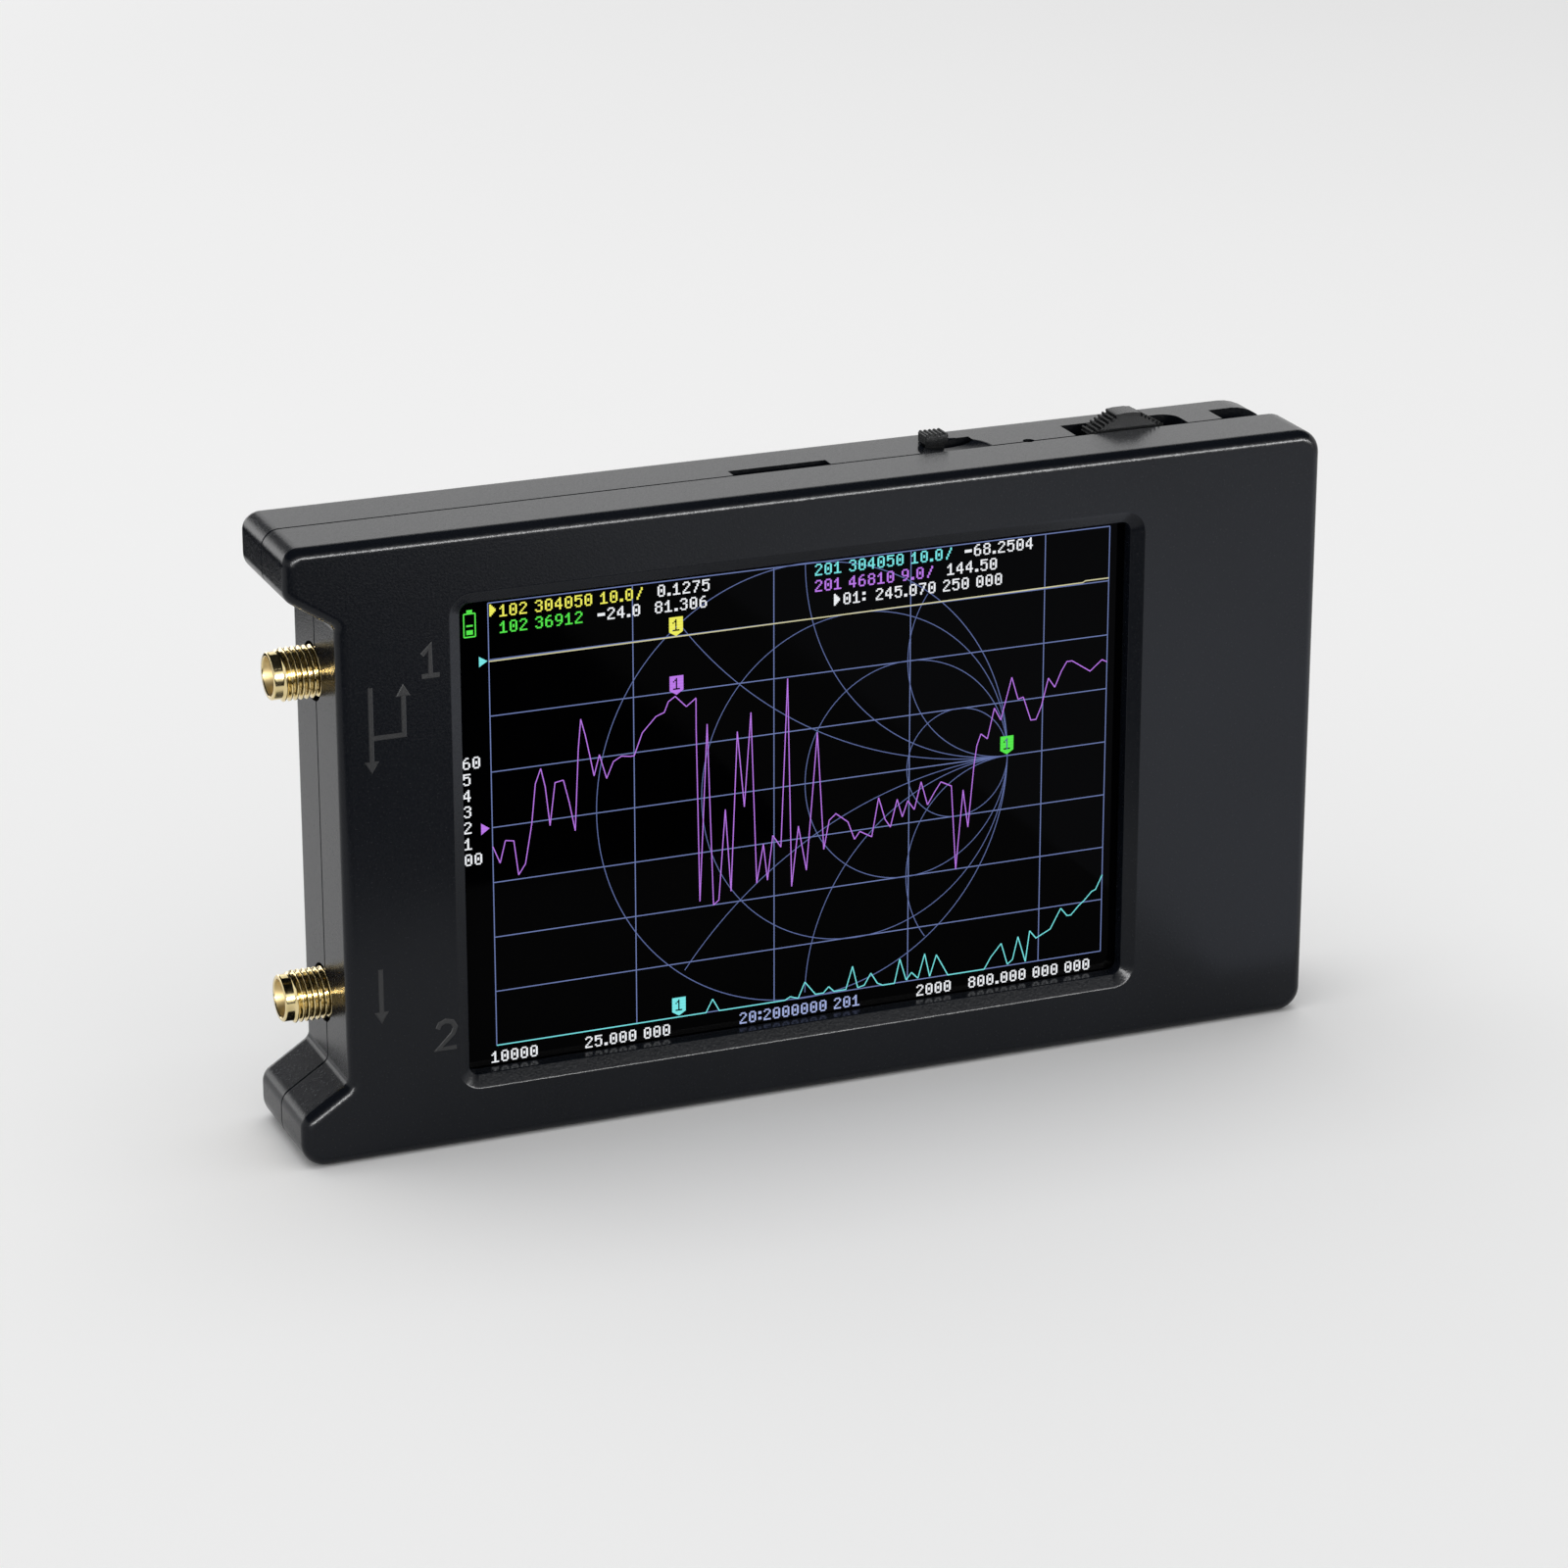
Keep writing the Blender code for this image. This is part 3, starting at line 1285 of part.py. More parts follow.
def make_rocker(inner_half):
    """The rocker turns on an axle in the plunger's cheeks; its origin lies on that axle."""
    outline = [(JOG_CENTRE + x, z) for x, z in rocker_outline()]
    rocker = slab("jog_rocker", [outline], JOG_FRONT, JOG_BACK)
    half_neck = inner_half - RUNNING_GAP
    neck = box(
        "rocker_neck",
        (JOG_CENTRE - JOG_NECK_HALF_WIDTH, JOG_MIDDLE - half_neck, PIVOT_HEIGHT),
        (JOG_CENTRE + JOG_NECK_HALF_WIDTH, JOG_MIDDLE + half_neck, TOP - JOG_SINK / 2),
        helper=True,
    )
    pivot = (JOG_CENTRE, JOG_MIDDLE, PIVOT_HEIGHT)
    hub = drum("rocker_hub", pivot, "Y", JOG_HUB_RADIUS, 2 * half_neck, helper=True)
    axle_length = 2 * (inner_half + JOG_CHEEK_THICKNESS)
    axle = drum(
        "rocker_axle", pivot, "Y", JOG_AXLE_RADIUS, axle_length, SMALL_ROUND_STEPS, helper=True
    )
    join(rocker, neck, hub, axle)
    move_origin(rocker, pivot)
    return paint(rocker, key_plastic())


def move_origin(obj, point):
    """Puts an object's origin on a point without moving its shape."""
    shift = Matrix.Translation(Vector(point))
    obj.data.transform(shift.inverted() @ obj.matrix_basis)
    obj.matrix_basis = shift


def make_status_light():
    back = BOARD_FACE - GAP
    top = TOP - WALL - GAP
    low = (LIGHT_MIDDLE - LIGHT_WIDTH / 2, back - LIGHT_DEPTH, top - LIGHT_HEIGHT)
    high = (LIGHT_MIDDLE + LIGHT_WIDTH / 2, back, top)
    return paint(box("status_light", low, high), light_lens())


def make_usb_socket():
    """Charging socket: a rounded metal shell with a tongue in its mouth."""
    mouth = RIGHT - USB_INSET
    rear = mouth - USB_LENGTH
    shell = along_x("usb_socket", usb_outline(0), rear, mouth)
    hollow = along_x(
        "usb_hollow", usb_outline(-USB_SHELL), rear + USB_TONGUE_RECESS, mouth + OVERRUN, helper=True
    )
    middle = BOARD_FACE - GAP - USB_DEPTH / 2
    tongue = box(
        "usb_tongue",
        (
            rear + USB_TONGUE_RECESS / 2,
            middle - USB_TONGUE_THICKNESS / 2,
            USB_HEIGHT - USB_TONGUE_WIDTH / 2,
        ),
        (
            mouth - USB_TONGUE_RECESS,
            middle + USB_TONGUE_THICKNESS / 2,
            USB_HEIGHT + USB_TONGUE_WIDTH / 2,
        ),
        helper=True,
    )
    cut(shell, hollow)
    join(shell, tongue)
    return paint(shell, tinned_steel())


def make_case_screws():
    """Four cross-head screws from the back, through the board into the front bosses."""
    seat = BACK - COUNTERBORE_DEPTH + GAP
    head_face = seat + SCREW_HEAD_HEIGHT
    for i, (x, z) in enumerate(SCREW_PLACES, 1):
        profile = [
            (0, SCREW_HEAD_HEIGHT),
            (SCREW_HEAD_RADIUS, SCREW_HEAD_HEIGHT),
            (SCREW_HEAD_RADIUS, 0),
            (SCREW_RADIUS, 0),
            (SCREW_RADIUS, -SCREW_LENGTH),
            (0, -SCREW_LENGTH),
        ]
        screw = turned(f"case_screw_{i}", profile, (x, seat, z), "+Y", SMALL_ROUND_STEPS)
        half_span = SCREW_DRIVE_SPAN / 2
        half_slot = SCREW_DRIVE_WIDTH / 2
        for label, half_x, half_z in (("wide", half_span, half_slot), ("tall", half_slot, half_span)):
            slot = box(
                f"screw_{i}_{label}_slot",
                (x - half_x, head_face - SCREW_DRIVE_DEPTH, z - half_z),
                (x + half_x, head_face + OVERRUN, z + half_z),
                helper=True,
            )
            cut(screw, slot)
        paint(screw, black_screw_steel())


clear_scene()
PARTS = new_collection("antenna_analyzer")
HELPERS = new_collection("cutters")
make_front_shell()
make_rear_shell()
make_screen_stack()
make_battery()
make_board()
make_chips()
for port_number, port_height in enumerate(PORT_HEIGHTS, 1):
    make_port(port_number, port_height)
make_card_socket()
make_power_switch()
make_jog_switch()
make_status_light()
make_usb_socket()
make_case_screws()
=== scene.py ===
"""Looks of a hand-held two-port antenna analyzer: finer shells, ports, keys and screen marks.

All lengths are in metres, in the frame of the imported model.
"""

import json
import math

import bmesh
import bpy
from mathutils import Matrix, Vector

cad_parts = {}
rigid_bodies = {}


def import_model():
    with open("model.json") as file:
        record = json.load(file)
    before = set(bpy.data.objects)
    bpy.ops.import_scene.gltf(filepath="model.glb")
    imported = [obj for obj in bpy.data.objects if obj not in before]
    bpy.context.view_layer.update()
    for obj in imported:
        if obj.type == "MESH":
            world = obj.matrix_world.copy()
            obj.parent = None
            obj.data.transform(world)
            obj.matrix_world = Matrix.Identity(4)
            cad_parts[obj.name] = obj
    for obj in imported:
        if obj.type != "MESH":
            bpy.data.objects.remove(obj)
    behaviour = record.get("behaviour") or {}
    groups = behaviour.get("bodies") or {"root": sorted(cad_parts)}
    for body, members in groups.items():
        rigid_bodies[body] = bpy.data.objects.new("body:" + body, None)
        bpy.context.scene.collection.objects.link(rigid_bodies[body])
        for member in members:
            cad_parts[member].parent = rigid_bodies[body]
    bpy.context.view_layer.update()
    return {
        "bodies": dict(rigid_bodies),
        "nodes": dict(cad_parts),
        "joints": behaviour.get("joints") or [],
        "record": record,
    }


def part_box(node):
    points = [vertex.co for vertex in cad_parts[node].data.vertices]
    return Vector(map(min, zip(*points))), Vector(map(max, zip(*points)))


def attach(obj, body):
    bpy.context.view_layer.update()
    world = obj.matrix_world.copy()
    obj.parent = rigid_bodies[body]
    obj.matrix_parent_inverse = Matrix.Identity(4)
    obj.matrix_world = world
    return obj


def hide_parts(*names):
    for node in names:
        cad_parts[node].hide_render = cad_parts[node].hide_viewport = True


MM = 0.001

# Case
LEFT = -66.5 * MM
RIGHT = 66.5 * MM
TOP = 77.0 * MM
FRONT = -9.2 * MM
BACK = 9.2 * MM
SEAM = -0.2 * MM
HALF_GAP = 0.07 * MM
WALL = 2.0 * MM
FRONT_WALL = 2.5 * MM
FRONT_EDGE = 1.4 * MM
BACK_EDGE = 2.0 * MM
RECESS_WALL = LEFT + 6.0 * MM
HORN_TIP = 6.1 * MM
HORN_ROOT = 10.0 * MM
TIP_RADIUS = 2.2 * MM
ROOT_RADIUS = 1.2 * MM
LEFT_RADIUS = 2.2 * MM
RIGHT_RADIUS = 3.0 * MM
STRAP_RADIUS = 6.0 * MM
FRONT_STRAP_RADIUS = 3.0 * MM
LIP_DEPTH = 1.5 * MM
FINE = 0.1 * MM
OVER = 1.0 * MM

# Screen window, and the place of the display's first pixel and the size of a pixel
WINDOW_LEFT = LEFT + 21.2 * MM
WINDOW_RIGHT = RIGHT - 25.5 * MM
WINDOW_BOTTOM = 8.6 * MM
WINDOW_TOP = TOP - 9.1 * MM
WINDOW_RADIUS = 1.2 * MM
GLASS = FRONT + 2.8 * MM
PIXEL_ORIGIN = (LEFT + 22.65 * MM, 67.0 * MM)
PIXEL = (0.1765 * MM, 0.1838 * MM)

# Ports
PORT_AXIS = 1.1 * MM
PORT_HEIGHTS = (TOP - 18.2 * MM, 18.2 * MM)
PORT_END = LEFT + 0.6 * MM
PORT_HOLE_RADIUS = 3.575 * MM
BORE_RADIUS = 2.3 * MM
COLLAR_RADIUS = 3.3 * MM
FLANGE_THICKNESS = 1.6 * MM
FLANGE_HALF = 3.5 * MM
LEG_WIDTH = 1.0 * MM
THREAD_LEAD, THREAD_ROOT, THREAD_CREST = 2.85 * MM, 2.755 * MM, 3.175 * MM
THREAD_START, THREAD_PITCH = 1.05 * MM, 0.706 * MM

# Strap notch in the top right corner
STRAP_BLOCK = 10.7 * MM
STRAP_NOTCH = 9.2 * MM
STRAP_NOTCH_BACK = SEAM + 4.1 * MM
LIP_BREAK = 11.0 * MM
POST_PLACE = 4.6 * MM
POST_RADIUS = 1.9 * MM
POST_BACK = SEAM + 5.1 * MM

# Openings
CHARGING_HEIGHT = 30.0 * MM
CHARGING_HALF_DEPTH, CHARGING_HALF_WIDTH = 1.95 * MM, 4.85 * MM
LIGHT_PLACE = (RIGHT - 35.5 * MM, SEAM + 0.3 * MM, TOP - WALL / 2)
LIGHT_HOLE_RADIUS = 0.7 * MM
CARD_LEFT, CARD_WIDTH, CARD_BACK = RIGHT - 74.3 * MM, 12.6 * MM, SEAM + 2.0 * MM
SCREW_HEAD_RADIUS, SCREW_HOLE_DEPTH = 2.2 * MM, 2.6 * MM

# Keys
KNOB_LEFT, KNOB_MIDDLE, KNOB_WIDTH = RIGHT - 48.1 * MM, SEAM + 4.0 * MM, 3.0 * MM
KNOB_HALF_DEPTH, KNOB_RISE = 1.2 * MM, 1.4 * MM
KNOB_SLOT_HALF_DEPTH = 0.7 * MM
DISH_CENTRE, DISH_SINK = (KNOB_LEFT + 3.0 * MM, SEAM), 0.85 * MM
DISH_HALF_WIDTH, DISH_REACH = 4.8 * MM, 5.2 * MM
JOG_MIDDLE, JOG_BASE = RIGHT - 21.7 * MM, TOP - 0.8 * MM
JOG_SLOT_BACK, JOG_SLOT_CORNER = SEAM + 4.7 * MM, 2.2 * MM
JOG_LEFT_SHIFT = 0.45 * MM
JOG_PIVOT = (JOG_MIDDLE, SEAM + 2.4 * MM, TOP - 4.7 * MM)


# Camera

def make_camera():
    data = bpy.data.cameras.new("camera")
    data.lens = 118.0
    data.sensor_width = 36.0
    data.clip_start = 0.01
    data.clip_end = 20.0
    camera = bpy.data.objects.new("camera", data)
    bpy.context.scene.collection.objects.link(camera)
    forward = Vector((0.3553, 0.8696, -0.3427)).normalized()
    right = forward.cross(Vector((0, 0, 1))).normalized()
    up = right.cross(forward)
    turn = Matrix((right, up, -forward)).transposed().to_4x4()
    camera.matrix_world = Matrix.Translation((-0.2248, -0.5471, 0.2525)) @ turn
    bpy.context.scene.camera = camera


# Mesh tools

def new_object(name, bm, material, body="case", smooth=math.radians(32)):
    """Turns a bmesh into a shaded piece that rides on a body."""
    mesh = bpy.data.meshes.new(name)
    bmesh.ops.recalc_face_normals(bm, faces=bm.faces)
    bm.to_mesh(mesh)
    bm.free()
    obj = bpy.data.objects.new(name, mesh)
    bpy.context.scene.collection.objects.link(obj)
    if material:
        mesh.materials.append(material)
    if smooth:
        shade(mesh, smooth)
    if body:
        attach(obj, body)
    return obj


def shade(mesh, angle):
    mesh.shade_smooth()
    mesh.set_sharp_from_angle(angle=angle)


def inset(points, distance):
    """Moves each side of a counterclockwise polygon inwards by the same distance."""
    moved = []
    count = len(points)
    for i in range(count):
        before, here, after = (Vector(points[(i + k) % count]) for k in (-1, 0, 1))
        along = (here - before).normalized()
        onward = (after - here).normalized()
        normal = Vector((-along.y, along.x))
        next_normal = Vector((-onward.y, onward.x))
        share = 1 + normal.dot(next_normal)
        moved.append(here + (normal + next_normal) * (distance / share))
    return moved


def rounded(points, radii, steps=10):
    """Replaces each corner of a polygon by an arc of its own radius."""
    outline = []
    count = len(points)
    for i in range(count):
        before, here, after = (Vector(points[(i + k) % count]) for k in (-1, 0, 1))
        arriving = (here - before).normalized()
        leaving = (after - here).normalized()
        turn = arriving.angle_signed(leaving)
        radius = radii[i]
        start = here - arriving * radius * math.tan(abs(turn) / 2)
        side = Vector((-arriving.y, arriving.x)) * (-1 if turn > 0 else 1)
        centre = start + side * radius
        arc_steps = max(2, round(steps * abs(turn) / (math.pi / 2)))
        for step in range(arc_steps + 1):
            spoke = Matrix.Rotation(-turn * step / arc_steps, 2) @ (start - centre)
            outline.append(centre + spoke)
    return outline


def case_outline(distance, strap_radius):
    """The outline of the case, moved inwards by a distance."""
    corners = [
        (LEFT, 0),
        (RIGHT, 0),
        (RIGHT, TOP),
        (LEFT, TOP),
        (LEFT, TOP - HORN_TIP),
        (RECESS_WALL, TOP - HORN_ROOT),
        (RECESS_WALL, HORN_ROOT),
        (LEFT, HORN_TIP),
    ]
    right = RIGHT_RADIUS - distance
    left = LEFT_RADIUS - distance
    tip = TIP_RADIUS - distance
    root = ROOT_RADIUS + distance
    strap = strap_radius - distance
    return rounded(inset(corners, distance), [right, right, strap, left, tip, root, root, tip])


def window_outline(grow):
    corners = [
        (WINDOW_LEFT - grow, WINDOW_BOTTOM - grow),
        (WINDOW_RIGHT + grow, WINDOW_BOTTOM - grow),
        (WINDOW_RIGHT + grow, WINDOW_TOP + grow),
        (WINDOW_LEFT - grow, WINDOW_TOP + grow),
    ]
    return rounded(corners, [WINDOW_RADIUS + grow] * 4)


def ring(bm, outline, depth):
    return [bm.verts.new((point[0], depth, point[1])) for point in outline]


def loft(bm, rings):
    """Closes the space between rings of equal length with four-sided faces."""
    for near, far in zip(rings, rings[1:]):
        for i in range(len(near)):
            k = (i + 1) % len(near)
            bm.faces.new((near[i], near[k], far[k], far[i]))


def fill_between(bm, one, other):
    """A flat face with a hole, between two rings of unlike length."""
    edges = []
    for loop in (one, other):
        for i in range(len(loop)):
            pair = (loop[i], loop[(i + 1) % len(loop)])
            edges.append(bm.edges.get(pair) or bm.edges.new(pair))
    bmesh.ops.triangle_fill(bm, edges=edges, use_beauty=True)


def arc(radius, steps=8):
    """Inset and height pairs of a quarter round, from the side towards the face."""
    angles = [math.pi / 2 * i / steps for i in range(steps + 1)]
    return [(radius * (1 - math.cos(a)), radius * (1 - math.sin(a))) for a in angles]


def block(name, low, high):
    low, high = Vector(low), Vector(high)
    bm = bmesh.new()
    bmesh.ops.create_cube(bm, size=1)
    bmesh.ops.scale(bm, vec=high - low, verts=bm.verts)
    bmesh.ops.translate(bm, vec=(low + high) / 2, verts=bm.verts)
    return new_object(name, bm, None, None, None)


def bar(name, centre, axis, radius, length, steps=48):
    bm = bmesh.new()
    bmesh.ops.create_cone(
        bm, cap_ends=True, segments=steps, radius1=radius, radius2=radius, depth=length
    )
    turn = {"X": Matrix.Rotation(math.pi / 2, 3, "Y"), "Y": Matrix.Rotation(math.pi / 2, 3, "X")}
    if axis in turn:
        bmesh.ops.rotate(bm, matrix=turn[axis], verts=bm.verts)
    bmesh.ops.translate(bm, vec=centre, verts=bm.verts)
    return new_object(name, bm, None, None, None)


def prism(name, outline, axis, start, end):
    """A flat outline carried along X, Y or Z; its points give the other two coordinates."""
    fixed = "XYZ".index(axis)
    bm = bmesh.new()
    ends = []
    for level in (start, end):
        places = [(*point[:fixed], level, *point[fixed:]) for point in map(tuple, outline)]
        ends.append([bm.verts.new(place) for place in places])
    loft(bm, ends)
    for end_ring in ends:
        bm.faces.new(end_ring)
    return new_object(name, bm, None, None, None)


def combine(obj, steps):
    """Applies a list of (operation, tool object) steps and deletes the tools."""
    for operation, tool in steps:
        modifier = obj.modifiers.new(tool.name, "BOOLEAN")
        modifier.operation = operation
        modifier.solver = "EXACT"
        modifier.object = tool
    graph = bpy.context.evaluated_depsgraph_get()
    made = bpy.data.meshes.new_from_object(obj.evaluated_get(graph))
    obj.modifiers.clear()
    obj.data = made
    for _, tool in steps:
        bpy.data.objects.remove(tool)


def soften(obj, width, chosen, steps=2):
    """Rounds the sharp edges whose middle passes the test, then shades the mesh."""
    bm = bmesh.new()
    bm.from_mesh(obj.data)
    bmesh.ops.remove_doubles(bm, verts=bm.verts, dist=0.002 * MM)
    bmesh.ops.dissolve_limit(bm, angle_limit=math.radians(0.5), verts=bm.verts, edges=bm.edges)
    edges = []
    for edge in bm.edges:
        if len(edge.link_faces) != 2:
            continue
        middle = (edge.verts[0].co + edge.verts[1].co) / 2
        if edge.calc_face_angle(0) > math.radians(40) and chosen(middle):
            edges.append(edge)
    bmesh.ops.bevel(
        bm, geom=edges, offset=width, segments=steps, affect="EDGES", clamp_overlap=True
    )
    bm.to_mesh(obj.data)
    bm.free()
    shade(obj.data, math.radians(35))
    weighted = obj.modifiers.new("Even shading", "WEIGHTED_NORMAL")
    weighted.keep_sharp = True
    weighted.weight = 90


# Materials

def new_material(name):
    material = bpy.data.materials.new(name)
    material.use_nodes = True
    return material, material.node_tree, material.node_tree.nodes["Principled BSDF"]


def add_node(tree, kind, settings=None, **inputs):
    node = tree.nodes.new(kind)
    for key, value in (settings or {}).items():
        setattr(node, key, value)
    for key, value in inputs.items():
        socket = node.inputs[key.replace("_", " ")]
        if isinstance(value, bpy.types.NodeSocket):
            tree.links.new(value, socket)
        else:
            socket.default_value = value
    return node


def object_place(tree):
    return add_node(tree, "ShaderNodeTexCoord").outputs["Object"]


def noise(tree, place, scale, detail=2.0, roughness=0.5):
    made = add_node(tree, "ShaderNodeTexNoise", Vector=place, Scale=scale, Detail=detail)
    made.inputs["Roughness"].default_value = roughness
    return made.outputs["Fac"]


def spread(tree, value, low, high, start=0.3, end=0.7):
    made = add_node(tree, "ShaderNodeMapRange", Value=value)
    for key, number in (("From Min", start), ("From Max", end), ("To Min", low), ("To Max", high)):
        made.inputs[key].default_value = number
    return made.outputs["Result"]


def blend_colours(tree, factor, one, other):
    made = add_node(tree, "ShaderNodeMix", {"data_type": "RGBA"})
    tree.links.new(factor, made.inputs["Factor"])
    made.inputs["A"].default_value = (*one, 1)
    made.inputs["B"].default_value = (*other, 1)
    return made.outputs["Result"]


def bump(tree, shader, height, distance, strength=1.0):
    made = add_node(tree, "ShaderNodeBump", Height=height)
    made.inputs["Distance"].default_value = distance
    made.inputs["Strength"].default_value = strength
    tree.links.new(made.outputs["Normal"], shader.inputs["Normal"])


def grained(name, dark, light, rough, grain, depth, metallic=0.0, specular=0.5, blotch=40):
    """A surface with broad colour and gloss changes and a fine moulded or cast grain."""
    material, tree, shader = new_material(name)
    place = object_place(tree)
    broad = noise(tree, place, blotch, 3.0)
    fine = noise(tree, place, grain, 2.0, 0.6)
    colour = blend_colours(tree, spread(tree, broad, 0.0, 1.0), dark, light)
    tree.links.new(colour, shader.inputs["Base Color"])
    gloss = spread(tree, fine, rough[0], rough[1])
    tree.links.new(gloss, shader.inputs["Roughness"])
    shader.inputs["Metallic"].default_value = metallic
    shader.inputs["Specular IOR Level"].default_value = specular
    bump(tree, shader, fine, depth, 0.5)
    return material


def turned_gold(name, dark, light, rough=(0.10, 0.18)):
    """Gold plating over turned brass, with faint rings round the port's axis."""
    material, tree, shader = new_material(name)
    place = object_place(tree)
    lines = add_node(
        tree,
        "ShaderNodeTexWave",
        {"wave_type": "BANDS", "bands_direction": "X"},
        Vector=place,
        Scale=4200.0,
        Distortion=1.5,
    )
    broad = noise(tree, place, 900, 2.0)
    colour = blend_colours(tree, spread(tree, broad, 0.0, 1.0), dark, light)
    tree.links.new(colour, shader.inputs["Base Color"])
    tree.links.new(spread(tree, broad, *rough), shader.inputs["Roughness"])
    shader.inputs["Metallic"].default_value = 1.0
    bump(tree, shader, lines.outputs["Fac"], 0.002 * MM, 0.3)
    return material


def screen_glass():
    """Black cover glass with faint wipe marks in its gloss."""
    material, tree, shader = new_material("cover_glass")
    place = object_place(tree)
    marks = noise(tree, place, 60, 4.0, 0.65)
    tree.links.new(spread(tree, marks, 0.03, 0.09), shader.inputs["Roughness"])
    colour = blend_colours(tree, marks, (0.0002, 0.0002, 0.0003), (0.0006, 0.0006, 0.0008))
    tree.links.new(colour, shader.inputs["Base Color"])
    shader.inputs["Specular IOR Level"].default_value = 0.02
    return material


def glowing(name, colour, strength=1.0):
    """Lit display pixels, a little darker between the rows."""
    material, tree, shader = new_material(name)
    place = object_place(tree)
    rows = add_node(
        tree,
        "ShaderNodeTexWave",
        {"wave_type": "BANDS", "bands_direction": "Z"},
        Vector=place,
        Scale=math.pi / (20 * PIXEL[1]),
    )
    level = spread(tree, rows.outputs["Fac"], 0.88, 1.0, 0.0, 1.0)
    shown = blend_colours(tree, level, (0, 0, 0), colour)
    shader.inputs["Base Color"].default_value = (0.002, 0.002, 0.002, 1)
    shader.inputs["Roughness"].default_value = 0.4
    shader.inputs["Specular IOR Level"].default_value = 0.0
    tree.links.new(shown, shader.inputs["Emission Color"])
    shader.inputs["Emission Strength"].default_value = strength
    return material


# Case shells

def make_front_shell(plastic):
    """Front half: rounded front edge, window with a sloped frame, walls and rim."""
    bm = bmesh.new()
    rim = SEAM - HALF_GAP
    radius = FRONT_STRAP_RADIUS
    outer = [ring(bm, case_outline(FINE, radius), rim)]
    outer.append(ring(bm, case_outline(0, radius), rim - FINE))
    for distance, rise in arc(FRONT_EDGE, 10):
        outer.append(ring(bm, case_outline(distance, radius), FRONT + rise))
    frame = [
        (1.68, 0.0),
        (1.56, 0.012),
        (1.47, 0.045),
        (1.38, 0.10),
        (0.10, 0.86),
        (0.03, 0.92),
        (0.0, 1.0),
        (0.0, FRONT_WALL / MM),
    ]
    slope = [ring(bm, window_outline(grow * MM), FRONT + rise * MM) for grow, rise in frame]
    inner_depth = FRONT + FRONT_WALL
    room = SEAM - LIP_DEPTH - 2 * HALF_GAP
    inner = [
        ring(bm, case_outline(WALL, radius), inner_depth),
        ring(bm, case_outline(WALL, radius), room),
        ring(bm, case_outline(WALL - 1.1 * MM, radius), room),
        ring(bm, case_outline(WALL - 1.1 * MM, radius), rim),
    ]
    loft(bm, outer)
    loft(bm, slope)
    loft(bm, inner)
    loft(bm, [inner[-1], outer[0]])
    fill_between(bm, outer[-1], slope[0])
    fill_between(bm, slope[-1], inner[0])
    shell = new_object("front_case_half", bm, plastic, None, None)
    web = strap_block("web", radius, SEAM - LIP_DEPTH - 1.8 * MM, rim)
    steps = [("UNION", web)]
    steps += [("DIFFERENCE", cutter) for cutter in side_openings("front")]
    combine(shell, steps)
    soften(shell, 0.10 * MM, near_side_opening)
    return shell


def strap_block(name, radius, front, back):
    """Fills the cavity's top right corner, where the strap notch is."""
    low = (RIGHT - STRAP_BLOCK, TOP - STRAP_BLOCK)
    high = (RIGHT - WALL / 2, TOP - WALL / 2)
    corners = [low, (high[0], low[1]), high, (low[0], high[1])]
    outline = rounded(corners, [FINE, FINE, radius - WALL / 2, FINE])
    return prism(name, outline, "Y", front, back)


def side_openings(label):
    """Holes that both halves share: two ports, charging socket, status light."""
    openings = []
    through = WALL + 2 * OVER
    for i, height in enumerate(PORT_HEIGHTS):
        centre = (RECESS_WALL + WALL / 2, PORT_AXIS, height)
        name = f"{label}_port_hole_{i}"
        openings.append(bar(name, centre, "X", PORT_HOLE_RADIUS, through, 64))
    middle = (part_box("usb_socket")[0].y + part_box("usb_socket")[1].y) / 2
    front, back = middle - CHARGING_HALF_DEPTH, middle + CHARGING_HALF_DEPTH
    low, high = CHARGING_HEIGHT - CHARGING_HALF_WIDTH, CHARGING_HEIGHT + CHARGING_HALF_WIDTH
    corners = [(front, low), (back, low), (back, high), (front, high)]
    outline = rounded(corners, [CHARGING_HALF_DEPTH - FINE] * 4)
    name = f"{label}_charging_hole"
    openings.append(prism(name, outline, "X", RIGHT - WALL - OVER, RIGHT + OVER))
    name = f"{label}_light_hole"
    openings.append(bar(name, LIGHT_PLACE, "Z", LIGHT_HOLE_RADIUS, through, 32))
    return openings


def near_side_opening(point):
    if point.x > RIGHT - 0.2 * MM and abs(point.z - CHARGING_HEIGHT) < 6 * MM:
        return True
    if abs(point.x - RECESS_WALL) < 0.1 * MM:
        heights = [abs(point.z - height) for height in PORT_HEIGHTS]
        return min(heights) < 4 * MM and abs(point.y - PORT_AXIS) < 3.8 * MM
    return False


